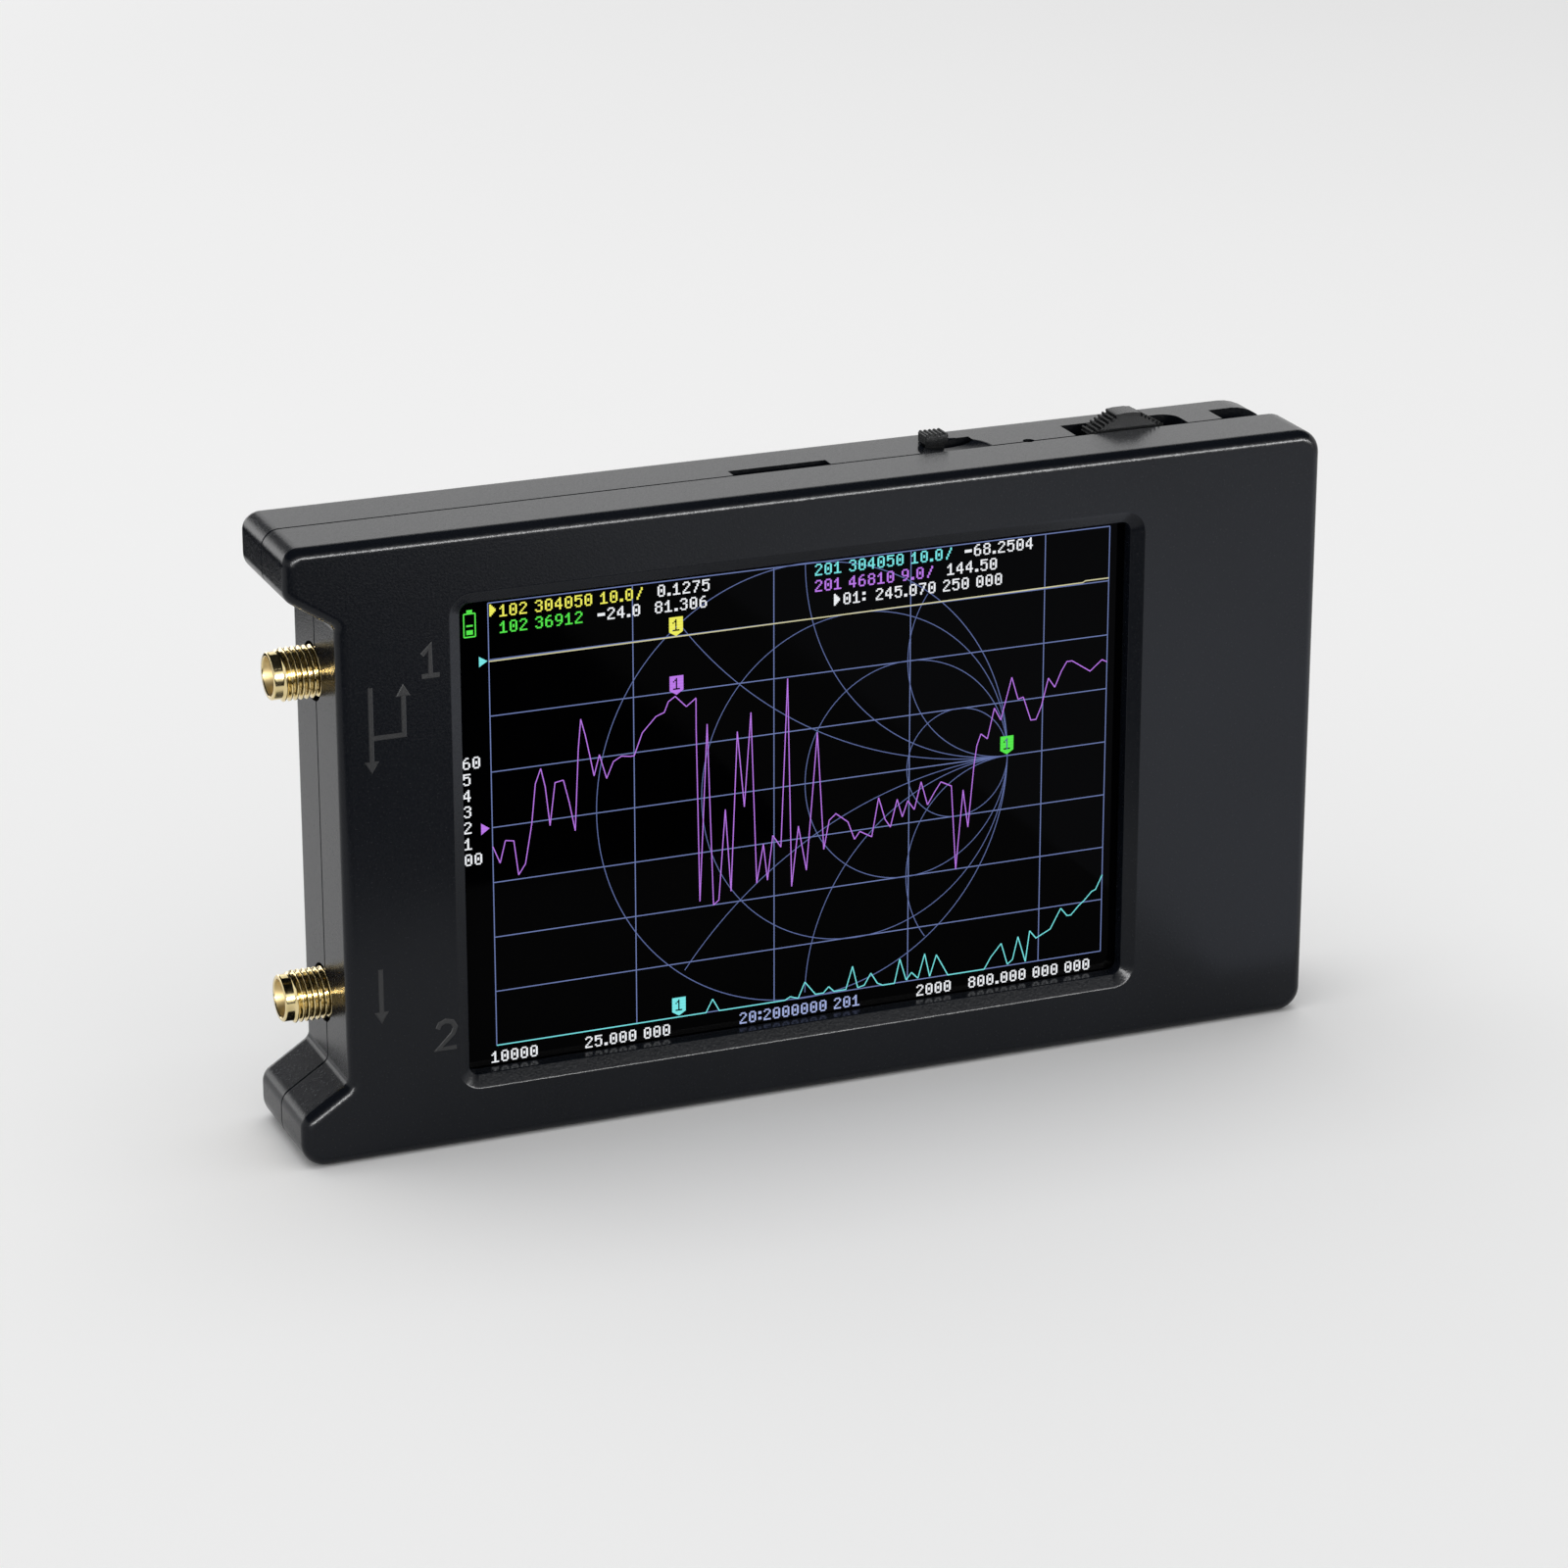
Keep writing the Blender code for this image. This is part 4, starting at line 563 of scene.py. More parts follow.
def make_rear_shell(plastic):
    """Rear half: rounded back edge, slots and dish in its top, strap notch, screw holes."""
    bm = bmesh.new()
    rim = SEAM + HALF_GAP
    radius = STRAP_RADIUS
    outer = [ring(bm, case_outline(FINE, radius), rim)]
    outer.append(ring(bm, case_outline(0, radius), rim + FINE))
    for distance, rise in arc(BACK_EDGE, 10):
        outer.append(ring(bm, case_outline(distance, radius), BACK - rise))
    lip = SEAM - LIP_DEPTH
    inner = [
        ring(bm, case_outline(WALL, radius), BACK - WALL),
        ring(bm, case_outline(WALL, radius), lip),
        ring(bm, case_outline(WALL - 0.8 * MM, radius), lip),
        ring(bm, case_outline(WALL - 0.8 * MM, radius), rim),
    ]
    loft(bm, outer)
    bm.faces.new(outer[-1])
    loft(bm, inner)
    bm.faces.new(inner[0])
    loft(bm, [inner[-1], outer[0]])
    shell = new_object("rear_case_half", bm, plastic, None, None)

    corner = strap_block("corner", radius, rim, BACK - WALL / 2)
    notch = block(
        "notch",
        (RIGHT - STRAP_NOTCH, lip - OVER, TOP - STRAP_NOTCH),
        (RIGHT + OVER, STRAP_NOTCH_BACK, TOP + OVER),
    )
    lip_break = block(
        "lip_break",
        (RIGHT - LIP_BREAK, lip - OVER, TOP - LIP_BREAK),
        (RIGHT + OVER, rim, TOP + OVER),
    )
    post_middle = (RIGHT - POST_PLACE, (rim + POST_BACK) / 2, TOP - POST_PLACE)
    post = bar("post", post_middle, "Y", POST_RADIUS, POST_BACK - rim)
    steps = [("UNION", corner), ("DIFFERENCE", notch), ("DIFFERENCE", lip_break), ("UNION", post)]
    steps += [("DIFFERENCE", cutter) for cutter in side_openings("rear")]
    steps += [("DIFFERENCE", cutter) for cutter in top_openings(lip - OVER)]
    for i in range(4):
        low_corner, high_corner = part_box(f"case_screw_{i + 1}")
        middle = (low_corner + high_corner) / 2
        centre = (middle.x, BACK - 0.3 * MM, middle.z)
        hole = bar(f"head_hole_{i}", centre, "Y", SCREW_HEAD_RADIUS, SCREW_HOLE_DEPTH)
        steps.append(("DIFFERENCE", hole))
    combine(shell, steps)
    soften(shell, 0.12 * MM, near_rear_opening)
    return shell


def top_openings(front):
    """Card slot, slot and dish of the power switch, and the jog lever's slot."""
    low, high = TOP - WALL - OVER, TOP + OVER
    card = block("card_slot", (CARD_LEFT, front, low), (CARD_LEFT + CARD_WIDTH, CARD_BACK, high))
    knob = block(
        "knob_slot",
        (KNOB_LEFT - 0.1 * MM, KNOB_MIDDLE - KNOB_SLOT_HALF_DEPTH, low),
        (KNOB_LEFT + 6.5 * MM, KNOB_MIDDLE + KNOB_SLOT_HALF_DEPTH, high),
    )
    left, right = JOG_MIDDLE - 7.5 * MM, JOG_MIDDLE + 7.8 * MM
    points = [(left, front), (right, front), (right, JOG_SLOT_BACK), (left, JOG_SLOT_BACK)]
    jog = prism("jog_slot", rounded(points, [FINE, FINE, JOG_SLOT_CORNER, FINE]), "Z", low, high)
    return [card, dish_cutter(), knob, jog]


def dish_cutter():
    """A bowl with a nearly level floor and steeper sides, open to the top."""
    shares = (0.15, 0.35, 0.50, 0.62, 0.72, 0.80, 0.87, 0.93, 0.97, 1.0)
    levels = [(share, TOP - DISH_SINK * (1 - share**4)) for share in shares]
    levels.append((1.0, TOP + OVER))
    angles = [2 * math.pi * i / 96 for i in range(96)]
    bm = bmesh.new()
    rings = []
    for share, height in levels:
        rings.append([
            bm.verts.new((
                DISH_CENTRE[0] + DISH_HALF_WIDTH * share * math.cos(angle),
                DISH_CENTRE[1] + DISH_REACH * share * math.sin(angle),
                height,
            ))
            for angle in angles
        ])
    loft(bm, rings)
    bm.faces.new(rings[0])
    bm.faces.new(rings[-1])
    return new_object("dish", bm, None, None, None)


def near_rear_opening(point):
    if near_side_opening(point):
        return True
    if point.z > TOP - 1.2 * MM and point.y < SEAM + 5.5 * MM:
        return point.y > SEAM + 0.3 * MM and RIGHT - 75.5 * MM < point.x < RIGHT - 8.0 * MM
    return False


# Frame, camera and case

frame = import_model()
make_camera()

PLASTIC = grained(
    "moulded_plastic", (0.0036, 0.0048, 0.0076), (0.0058, 0.0072, 0.0106), (0.19, 0.28),
    3600, 0.032 * MM, specular=0.19,
)
KEY = grained(
    "key_plastic_grain", (0.005, 0.006, 0.007), (0.009, 0.010, 0.011), (0.22, 0.32),
    7000, 0.014 * MM, specular=0.17,
)
RIDGE = grained(
    "raised_mark_plastic", (0.014, 0.015, 0.017), (0.020, 0.021, 0.023), (0.30, 0.42),
    6500, 0.006 * MM, specular=0.3,
)
GOLD = turned_gold("port_gold", (0.72, 0.58, 0.28), (0.86, 0.71, 0.39))
# Gold inside the bore: rougher, as drilled, and darker in colour, which is painted shade in the
# hole
BORE_SHADED_GOLD = turned_gold("bore_gold_painted_shade", (0.50, 0.39, 0.19), (0.60, 0.47, 0.24), (0.42, 0.55))

front_half = make_front_shell(PLASTIC)
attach(front_half, "case")
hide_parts("front_shell")
rear_half = make_rear_shell(PLASTIC)
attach(rear_half, "case")
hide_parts("rear_shell")


# Ports

def thread_height(distance, angle):
    """Radius of the port's outside at a distance from its open end."""
    if distance < THREAD_START:
        return THREAD_LEAD - max(0, 0.15 * MM - distance) * 0.7
    turn = (distance - THREAD_START) / THREAD_PITCH - angle / (2 * math.pi)
    wave = abs((turn % 1.0) * 2 - 1)
    profile = min(1.0, max(0.0, (wave - 0.10) / 0.72))
    grow = min(1.0, (distance - THREAD_START) / (0.5 * THREAD_PITCH))
    base = THREAD_LEAD if turn < 0.5 else THREAD_ROOT
    return base + (THREAD_CREST - base) * profile * grow


def make_port(number, height):
    """Threaded gold barrel with a bore, a flange and solder legs."""
    steps, rows = 96, 150
    barrel_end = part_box(f"port_{number}_body")[1].x - 4.2 * MM - FLANGE_THICKNESS
    length = barrel_end - PORT_END
    bm = bmesh.new()
    rings = []
    depth = length + FLANGE_THICKNESS

    def turn_ring(radius_at, distance):
        made = []
        for i in range(steps):
            angle = 2 * math.pi * i / steps
            radius = radius_at(angle)
            place = (
                PORT_END + distance,
                PORT_AXIS + radius * math.cos(angle),
                height + radius * math.sin(angle),
            )
            made.append(bm.verts.new(place))
        rings.append(made)

    turn_ring(lambda a: BORE_RADIUS, depth)
    turn_ring(lambda a: BORE_RADIUS, 0.12 * MM)
    turn_ring(lambda a: BORE_RADIUS + 0.10 * MM, 0.0)
    turn_ring(lambda a: 2.72 * MM, 0.0)
    for row in range(1, rows + 1):
        distance = length * row / rows
        turn_ring(lambda a, d=distance: thread_height(d, a), distance)
    turn_ring(lambda a: COLLAR_RADIUS, length)
    turn_ring(lambda a: COLLAR_RADIUS, depth)
    loft(bm, rings)
    loft(bm, [rings[-1], rings[0]])
    barrel = new_object(f"port_{number}_barrel", bm, GOLD, None, math.radians(50))
    # Faces inside the bore take the darker gold: painted shade of the hole
    barrel.data.materials.append(BORE_SHADED_GOLD)
    for face in barrel.data.polygons:
        away = math.hypot(face.center.y - PORT_AXIS, face.center.z - height)
        if away < BORE_RADIUS and face.center.x < barrel_end:
            face.material_index = 1
    half = FLANGE_HALF
    flange = block(
        "flange",
        (barrel_end, PORT_AXIS - half, height - half),
        (barrel_end + FLANGE_THICKNESS, PORT_AXIS + half, height + half),
    )
    hole = bar("flange_hole", (barrel_end, PORT_AXIS, height), "X", BORE_RADIUS, 8 * MM, steps)
    combine(flange, [("DIFFERENCE", hole)])
    join_meshes(barrel, flange)
    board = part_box("main_board")
    for front in (board[0].y - 1.3 * MM, board[1].y + 0.3 * MM):
        for bottom in (height - half, height + half - LEG_WIDTH):
            leg = block(
                "leg",
                (barrel_end + 0.8 * MM, front, bottom),
                (barrel_end + 5.8 * MM, front + LEG_WIDTH, bottom + LEG_WIDTH),
            )
            join_meshes(barrel, leg)
    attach(barrel, "case")
    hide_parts(f"port_{number}_body")


def join_meshes(obj, other):
    """Adds another object's faces to this one and deletes the other."""
    bm = bmesh.new()
    bm.from_mesh(obj.data)
    bm.from_mesh(other.data)
    bm.to_mesh(obj.data)
    bm.free()
    bpy.data.objects.remove(other)
    shade(obj.data, math.radians(50))


for port_number, port_height in enumerate(PORT_HEIGHTS, 1):
    make_port(port_number, port_height)


# Keys

def make_knob():
    """Ribbed knob of the power switch: a cap above the dish on a neck through the slot."""
    left, right = KNOB_LEFT, KNOB_LEFT + KNOB_WIDTH
    crown, sole, foot = TOP + KNOB_RISE, TOP + 0.06 * MM, TOP - WALL - 0.6 * MM
    front, back = KNOB_MIDDLE - KNOB_HALF_DEPTH, KNOB_MIDDLE + KNOB_HALF_DEPTH
    middle = KNOB_MIDDLE
    outline = [(left, sole), (right, sole)]
    ribs, steps = 5, 8
    for i in range(ribs * steps + 1):
        share = i / (ribs * steps)
        wave = abs(math.sin(math.pi * share * ribs)) ** 0.6
        outline.append((right - (right - left) * share, crown - 0.30 * MM * (1 - wave)))
    knob = prism("ribbed_knob", outline, "Y", front, back)
    neck = block(
        "neck",
        (left + 0.2 * MM, middle - 0.5 * MM, foot),
        (right - 0.2 * MM, middle + 0.5 * MM, sole + 0.3 * MM),
    )
    stem = block(
        "stem",
        (left + 0.6 * MM, middle - 0.3 * MM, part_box("power_switch_knob")[0].z),
        (left + 2.4 * MM, middle + 0.3 * MM, foot + 0.3 * MM),
    )
    combine(knob, [("UNION", neck), ("UNION", stem)])
    knob.data.materials.clear()
    knob.data.materials.append(KEY)
    soften(knob, 0.10 * MM, lambda point: point.z > TOP + 0.2 * MM)
    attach(knob, "power_knob")
    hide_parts("power_switch_knob")


def gable_slope(foot, shoulder, ribs, depth):
    """Points of stair ribs from a foot up to a shoulder, raised on the outer side."""
    along = (shoulder - foot) / ribs
    outward = Vector((along.y, -along.x)).normalized() * depth
    points = []
    for rib in range(ribs):
        for share, raised in ((0.0, 0.0), (0.42, 0.05), (0.52, 1.0), (0.88, 1.0)):
            points.append(foot + along * (rib + share) + outward * raised)
    return points


def make_lever():
    """Ribbed jog lever: a low gable with stair ribs over its hub and axle."""
    middle, base = JOG_MIDDLE, JOG_BASE
    foot, shoulder = Vector((4.75, -0.45)) * MM, Vector((1.05, 1.62)) * MM
    slope = gable_slope(foot, shoulder, 7, 0.38 * MM)
    side = [(point.x, TOP + point.y) for point in slope]
    side += [(1.0 * MM, TOP + 1.92 * MM), (0.5 * MM, TOP + 2.0 * MM)]
    outline = [(middle - 4.4 * MM - JOG_LEFT_SHIFT, base), (middle + 4.4 * MM, base)]
    outline += [(middle + x, z) for x, z in side]
    outline += [(middle - x - JOG_LEFT_SHIFT, z) for x, z in reversed(side)]
    lever = prism("ribbed_lever", outline, "Y", SEAM + 0.5 * MM, SEAM + 3.6 * MM)
    neck = block(
        "neck",
        (middle - 0.8 * MM, JOG_PIVOT[1] - 0.8 * MM, JOG_PIVOT[2]),
        (middle + 0.8 * MM, JOG_PIVOT[1] + 0.8 * MM, base + 0.4 * MM),
    )
    hub = bar("hub", JOG_PIVOT, "Y", 1.0 * MM, 1.6 * MM, 32)
    axle = bar("axle", JOG_PIVOT, "Y", 0.5 * MM, 3.8 * MM, 24)
    combine(lever, [("UNION", neck), ("UNION", hub), ("UNION", axle)])
    lever.data.materials.clear()
    lever.data.materials.append(KEY)
    soften(lever, 0.04 * MM, lambda point: point.z > TOP - 0.5 * MM)
    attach(lever, "jog_lever")
    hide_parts("jog_rocker")


make_knob()
make_lever()


# Raised marks on the front: plain numbers and signal arrows beside the ports

LEGENDS = (
    ((16.2, 62.6), (17.2, 63.6), (17.2, 60.0)),
    ((16.1, 60.0), (18.3, 60.0)),
    ((9.8, 59.4), (9.8, 50.2)),
    ((9.8, 53.2), (13.8, 53.2), (13.8, 58.0)),
    ((17.0, 15.6), (17.3, 16.2), (18.0, 16.5), (18.8, 16.3), (19.2, 15.6), (18.9, 14.8),
     (17.0, 13.0), (19.3, 13.0)),
    ((10.1, 24.3), (10.1, 18.7)),
)
ARROW_TIPS = ((13.8, 59.5, 1), (9.8, 48.8, -1), (10.1, 17.3, -1))
RIDGE_LIFT = 0.05


def raised(bm, low, high, lift):
    """Lofts a foot outline just inside the front face to a smaller outline above it."""
    rings = []
    for outline, rise in ((low, 0.02), (high, -lift)):
        rings.append([bm.verts.new((LEFT + x * MM, FRONT + rise * MM, z * MM)) for x, z in outline])
    loft(bm, rings)
    return rings


def ridge(bm, points, lift):
    """A raised line with sloping sides on the front face, through points in millimetres."""
    places = [Vector(point) for point in points]
    count = len(places)
    spokes = []
    for i, here in enumerate(places):
        arriving = (here - places[i - 1]).normalized() if i else None
        leaving = (places[i + 1] - here).normalized() if i < count - 1 else None
        one, other = arriving or leaving, leaving or arriving
        mean = (one + other).normalized()
        across = Vector((-mean.y, mean.x))
        spokes.append((here, across / max(0.5, across.dot(Vector((-one.y, one.x))))))

    def around(width):
        near = [here + across * width for here, across in spokes]
        far = [here - across * width for here, across in spokes]
        return near + far[::-1]

    low, high = raised(bm, around(0.34), around(0.22), lift)
    for i in range(count - 1):
        k = 2 * count - 1 - i
        bm.faces.new((high[i], high[i + 1], high[k - 1], high[k]))
        bm.faces.new((low[i], low[i + 1], low[k - 1], low[k]))


def arrow_tip(bm, x, tip, way, lift):
    foot = tip - 1.6 * way
    low = [Vector(point) for point in ((x - 0.95 * way, foot), (x + 0.95 * way, foot), (x, tip))]
    middle = (low[0] + low[1] + low[2]) / 3
    rings = raised(bm, low, [middle + (point - middle) * 0.75 for point in low], lift)
    for loop in rings:
        bm.faces.new(loop)


def make_legends():
    bm = bmesh.new()
    for i, points in enumerate(LEGENDS):
        ridge(bm, points, RIDGE_LIFT + 0.003 * i)
    for x, tip, way in ARROW_TIPS:
        arrow_tip(bm, x, tip, way, RIDGE_LIFT + 0.02)
    legends = new_object("front_marks", bm, RIDGE, "case", math.radians(20))


make_legends()

# Display: each sign is eight rows of lit and dark pixels

DIGITS = {
    "0": "01110 10001 10001 10101 10101 10001 10001 01110",
    "1": "00100 01100 10100 00100 00100 00100 00100 11111",
    "2": "01110 10001 00001 00010 00100 01000 10000 11111",
    "3": "01110 10001 00001 00110 00001 00001 10001 01110",
    "4": "00010 00110 01010 10010 10010 11111 00010 00010",
    "5": "11111 10000 11110 10001 00001 00001 10001 01110",
    "6": "00110 01000 10000 11110 10001 10001 10001 01110",
    "7": "11111 00001 00010 00010 00100 00100 01000 01000",
    "8": "01110 10001 10001 01110 10001 10001 10001 01110",
    "9": "01110 10001 10001 10001 01111 00001 00010 01100",
    ".": "000 000 000 000 000 000 110 110",
    "-": "00000 00000 00000 11111 11111 00000 00000 00000",
    "/": "00001 00001 00010 00010 00100 00100 01000 01000",
    ":": "000 110 110 000 000 110 110 000",
    ">": "10000 11000 11100 11110 11110 11100 11000 10000",
}
GLYPH_PITCH = 7
NARROW_PITCH = 4
NARROW = " .:"

# Rows of plain numbers on the display: colour, left and upper pixel, and the row
NUMBER_ROWS = (
    ("yellow", 16, 1, ">"),
    ("yellow", 23, 2, "102 304050 10.0/"),
    ("white", 135, 2, "0.1275"),
    ("green", 23, 13, "102 36912"),
    ("white", 92, 13, "-24.0"),
    ("white", 133, 13, "81.306"),
    ("cyan", 249, 1, "201 304050 10.0/"),
    ("white", 360, 1, "-68.2504"),
    ("violet", 249, 12, "201 46810 9.0/"),
    ("white", 347, 12, "144.50"),
    ("white", 263, 23, ">01:"),
    ("white", 294, 23, "245.070 250 000"),
    ("white", 11, 308, "10000"),
    ("white", 79, 308, "25.000 000"),
    ("pale_blue", 193, 308, "20:2000000 201"),
    ("white", 327, 308, "2000"),
    ("white", 367, 308, "800.000 000 000"),
)

# The column of digits left of the plot: left pixel, first upper pixel and step
MARGIN_DIGITS = ("60", "5", "4", "3", "2", "1", "00")
MARGIN_LEFT, MARGIN_TOP, MARGIN_STEP = -5, 102, 11

GRID_COLUMNS = (15, 117, 219, 320, 421, 470)
GRID_ROWS = (0, 38, 76, 114, 152, 190, 228, 266, 304)
PLOT = (15, 470, 0, 304)
CHART_CENTRE = (242, 152)
CHART_RADIUS = 152.5

VIOLET_TRACE = (
    (15, 165), (20, 177), (24, 162), (30, 163), (33, 187), (38, 180), (43, 153), (46, 126),
    (50, 116), (53, 129), (56, 156), (60, 127), (66, 126), (70, 142), (74, 162), (77, 106),
    (79, 86), (82, 97), (85, 111), (88, 126), (92, 112), (97, 129), (102, 118), (108, 115),
    (114, 116), (117, 116), (123, 101), (133, 91), (139, 89), (142, 82), (147, 79), (155, 87),
    (162, 82), (162, 103), (164, 224), (170, 101), (174, 228), (178, 225), (183, 162),
    (187, 220), (192, 109), (197, 162), (202, 97), (206, 217), (211, 190), (214, 216),
    (218, 185), (224, 194), (229, 77), (232, 223), (237, 181), (243, 213), (251, 117),
    (256, 200), (260, 180), (265, 176), (274, 183), (279, 196), (283, 191), (292, 196),
    (297, 169), (302, 185), (306, 191), (311, 172), (315, 185), (319, 174), (324, 181),
    (329, 162), (334, 179), (339, 171), (344, 164), (352, 168), (356, 228), (361, 172),
    (365, 199), (369, 156), (371, 142), (374, 134), (379, 138), (384, 117), (389, 126),
    (397, 97), (402, 113), (406, 112), (412, 129), (416, 129), (420, 120), (425, 101),
    (430, 108), (435, 97), (439, 91), (443, 91), (457, 100), (466, 93), (470, 95),
)
CYAN_TRACE = (
    (15, 304), (168, 304), (173, 295), (178, 304), (227, 304), (231, 302), (237, 304),
    (242, 293), (250, 303), (256, 303), (260, 299), (264, 303), (273, 303), (278, 287),
    (282, 303), (287, 302), (292, 294), (297, 302), (301, 304), (310, 304), (314, 287),
    (319, 303), (323, 298), (328, 303), (333, 286), (337, 303), (342, 288), (351, 304),
    (379, 304), (384, 296), (392, 287), (397, 303), (401, 300), (405, 284), (411, 303),
    (414, 281), (419, 287), (430, 282), (438, 268), (443, 274), (446, 274), (452, 268),
    (456, 265), (462, 259), (465, 258), (470, 248),
)
YELLOW_TRACE = (
    (15, 39), (250, 38), (255, 38), (450, 37), (452, 36), (470, 36),
)
FLAGS = (("yellow", 148, 38), ("violet", 148, 78), ("green", 394, 151), ("cyan", 148, 303))

SCREEN_COLOURS = {
    "grid_blue": (0.16, 0.21, 0.44),
    "chart_blue": (0.12, 0.16, 0.36),
    "pale_yellow": (0.66, 0.63, 0.38),
    "yellow": (0.90, 0.88, 0.12),
    "white": (0.90, 0.92, 0.95),
    "green": (0.10, 0.85, 0.08),
    "cyan": (0.20, 0.82, 0.82),
    "violet": (0.52, 0.20, 0.85),
    "pale_blue": (0.38, 0.45, 0.75),
}
LAYERS = {name: i for i, name in enumerate(SCREEN_COLOURS)}


class Marks:
    """Flat marks of one colour that gather in one mesh just above the glass."""

    def __init__(self, colour):
        self.colour = colour
        self.bm = bmesh.new()
        self.depth = GLASS - (0.020 + 0.006 * LAYERS[colour]) * MM

    def place(self, x, y):
        across = PIXEL_ORIGIN[0] + x * PIXEL[0]
        up = PIXEL_ORIGIN[1] - y * PIXEL[1]
        return self.bm.verts.new((across, self.depth, up))

    def polygon(self, points):
        self.bm.faces.new([self.place(*point) for point in points])

    def rectangle(self, left, top, right, bottom):
        self.polygon([(left, bottom), (right, bottom), (right, top), (left, top)])

    def line(self, points, width=1.0, closed=False):
        """A line of even width through the points; only its gentle corners are mitred."""
        places = [Vector(point) for point in points]
        if closed:
            places.append(places[0])
        normals = []
        for here, there in zip(places, places[1:]):
            along = (there - here).normalized()
            normals.append(Vector((-along.y, along.x)) * width / 2)
        count = len(normals)
        for i, normal in enumerate(normals):
            last = normals[i - 1] if i or closed else normal
            coming = normals[(i + 1) % count] if i < count - 1 or closed else normal
            start, end = self.mitre(last, normal), self.mitre(coming, normal)
            here, there = places[i], places[i + 1]
            self.polygon([here + start, here - start, there - end, there + end])

    @staticmethod
    def mitre(other, normal):
        mean = (other + normal) / 2
        share = mean.length_squared / normal.length_squared
        return mean / share if share > 0.6 else normal

    def row(self, left, top, text):
        x = left
        for sign in text:
            for j, line in enumerate(DIGITS.get(sign, "").split()):
                start = None
                for k, lit in enumerate(line + "0"):
                    if lit == "1" and start is None:
                        start = k
                    if lit == "0" and start is not None:
                        self.rectangle(x + start, top + j, x + k + 0.35, top + j + 1)
                        start = None
            x += NARROW_PITCH if sign in NARROW else GLYPH_PITCH

    def finish(self, material):
        bmesh.ops.remove_doubles(self.bm, verts=self.bm.verts, dist=0.001 * MM)
        bmesh.ops.recalc_face_normals(self.bm, faces=self.bm.faces)
        for face in self.bm.faces:
            if face.normal.y > 0:
                face.normal_flip()
        mesh = bpy.data.meshes.new(f"screen_{self.colour}")
        self.bm.to_mesh(mesh)
        self.bm.free()
        mesh.materials.append(material)
        obj = bpy.data.objects.new(f"screen_{self.colour}", mesh)
        bpy.context.scene.collection.objects.link(obj)
        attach(obj, "case")


def circle_points(centre, radius, steps=180):
    angles = [2 * math.pi * i / steps for i in range(steps)]
    return [(centre[0] + radius * math.cos(a), centre[1] + radius * math.sin(a)) for a in angles]


def draw_chart(marks):
    """A round impedance chart: circles that touch its right end and arcs that leave it."""
    x, y = CHART_CENTRE
    r = CHART_RADIUS
    marks.line(circle_points((x, y), r), 0.62, True)
    for share in (0.75, 0.5, 0.25):
        marks.line(circle_points((x + r * (1 - share), y), r * share, 120), 0.58, True)
    for share in (0.5, 1.0, 2.0):
        for side in (-1, 1):
            centre = (x + r, y + side * r * share)
            around = circle_points(centre, r * share, 240)
            inside = [place for place in around if math.hypot(place[0] - x, place[1] - y) < r]
            inside.sort(key=lambda point: math.atan2(
                side * (centre[1] - point[1]), centre[0] - point[0]))
            marks.line(inside, 0.58)


def draw_flag(marks, x, tip):
    """A numbered flag with a pointed foot; the number is left dark."""
    left, right, top, foot = x - 5, x + 5, tip - 13, tip - 3
    digit = top + 1.5
    marks.rectangle(left, top, right, digit)
    for j, line in enumerate(DIGITS["1"].split()):
        marks.rectangle(left, digit + j, x - 2.5, digit + j + 1)
        for k, lit in enumerate(line):
            if lit == "0":
                marks.rectangle(x - 2.5 + k, digit + j, x - 1.5 + k, digit + j + 1)
        marks.rectangle(x + 2.5, digit + j, right, digit + j + 1)
    marks.rectangle(left, digit + 8, right, foot)
    marks.polygon([(left, foot), (x, tip), (right, foot)])


def draw_screen():
    marks = {name: Marks(name) for name in SCREEN_COLOURS}
    grid = marks["grid_blue"]
    left, right, top, bottom = PLOT
    for column in GRID_COLUMNS:
        grid.rectangle(column - 0.36, top, column + 0.36, bottom)
    for line in GRID_ROWS:
        grid.rectangle(left, line - 0.36, right, line + 0.36)
    draw_chart(marks["chart_blue"])
    marks["violet"].line(VIOLET_TRACE, 0.72)
    marks["cyan"].line(CYAN_TRACE, 0.78)
    marks["pale_yellow"].line(YELLOW_TRACE, 0.8)
    for colour, x, tip in FLAGS:
        draw_flag(marks[colour], x, tip)
    for colour, x, y, text in NUMBER_ROWS:
        marks[colour].row(x, y, text)
    for i, digits in enumerate(MARGIN_DIGITS):
        marks["white"].row(MARGIN_LEFT, MARGIN_TOP + MARGIN_STEP * i, digits)
    marks["cyan"].polygon([(8, 35), (8, 42), (14, 38.5)])
    marks["violet"].polygon([(7, 148), (7, 156), (13, 152)])
    green = marks["green"]
    green.rectangle(0, 3, 4, 5)
    green.line([(-2, 5.5), (6, 5.5), (6, 21), (-2, 21)], 0.9, True)
    green.rectangle(-0.3, 16.5, 4.3, 19.5)
    green.rectangle(-0.3, 13.0, 4.3, 14.2)
    for name, made in marks.items():
        made.finish(glowing(f"lit_{name}", SCREEN_COLOURS[name]))


draw_screen()


# Materials of the pieces inside, and of those that need no finer shape

def stretched(tree, scale):
    return add_node(tree, "ShaderNodeMapping", Vector=object_place(tree), Scale=scale).outputs[0]


def brushed(name, dark, light, rough, direction):
    """Rolled sheet metal with fine streaks along one direction."""
    material, tree, shader = new_material(name)
    streaks = noise(tree, stretched(tree, direction), 2400, 3.0, 0.6)
    broad = noise(tree, object_place(tree), 120, 3.0)
    colour = blend_colours(tree, spread(tree, broad, 0.0, 1.0), dark, light)
    tree.links.new(colour, shader.inputs["Base Color"])
    tree.links.new(spread(tree, streaks, *rough), shader.inputs["Roughness"])
    shader.inputs["Metallic"].default_value = 1.0
    bump(tree, shader, streaks, 0.004 * MM, 0.5)
    return material


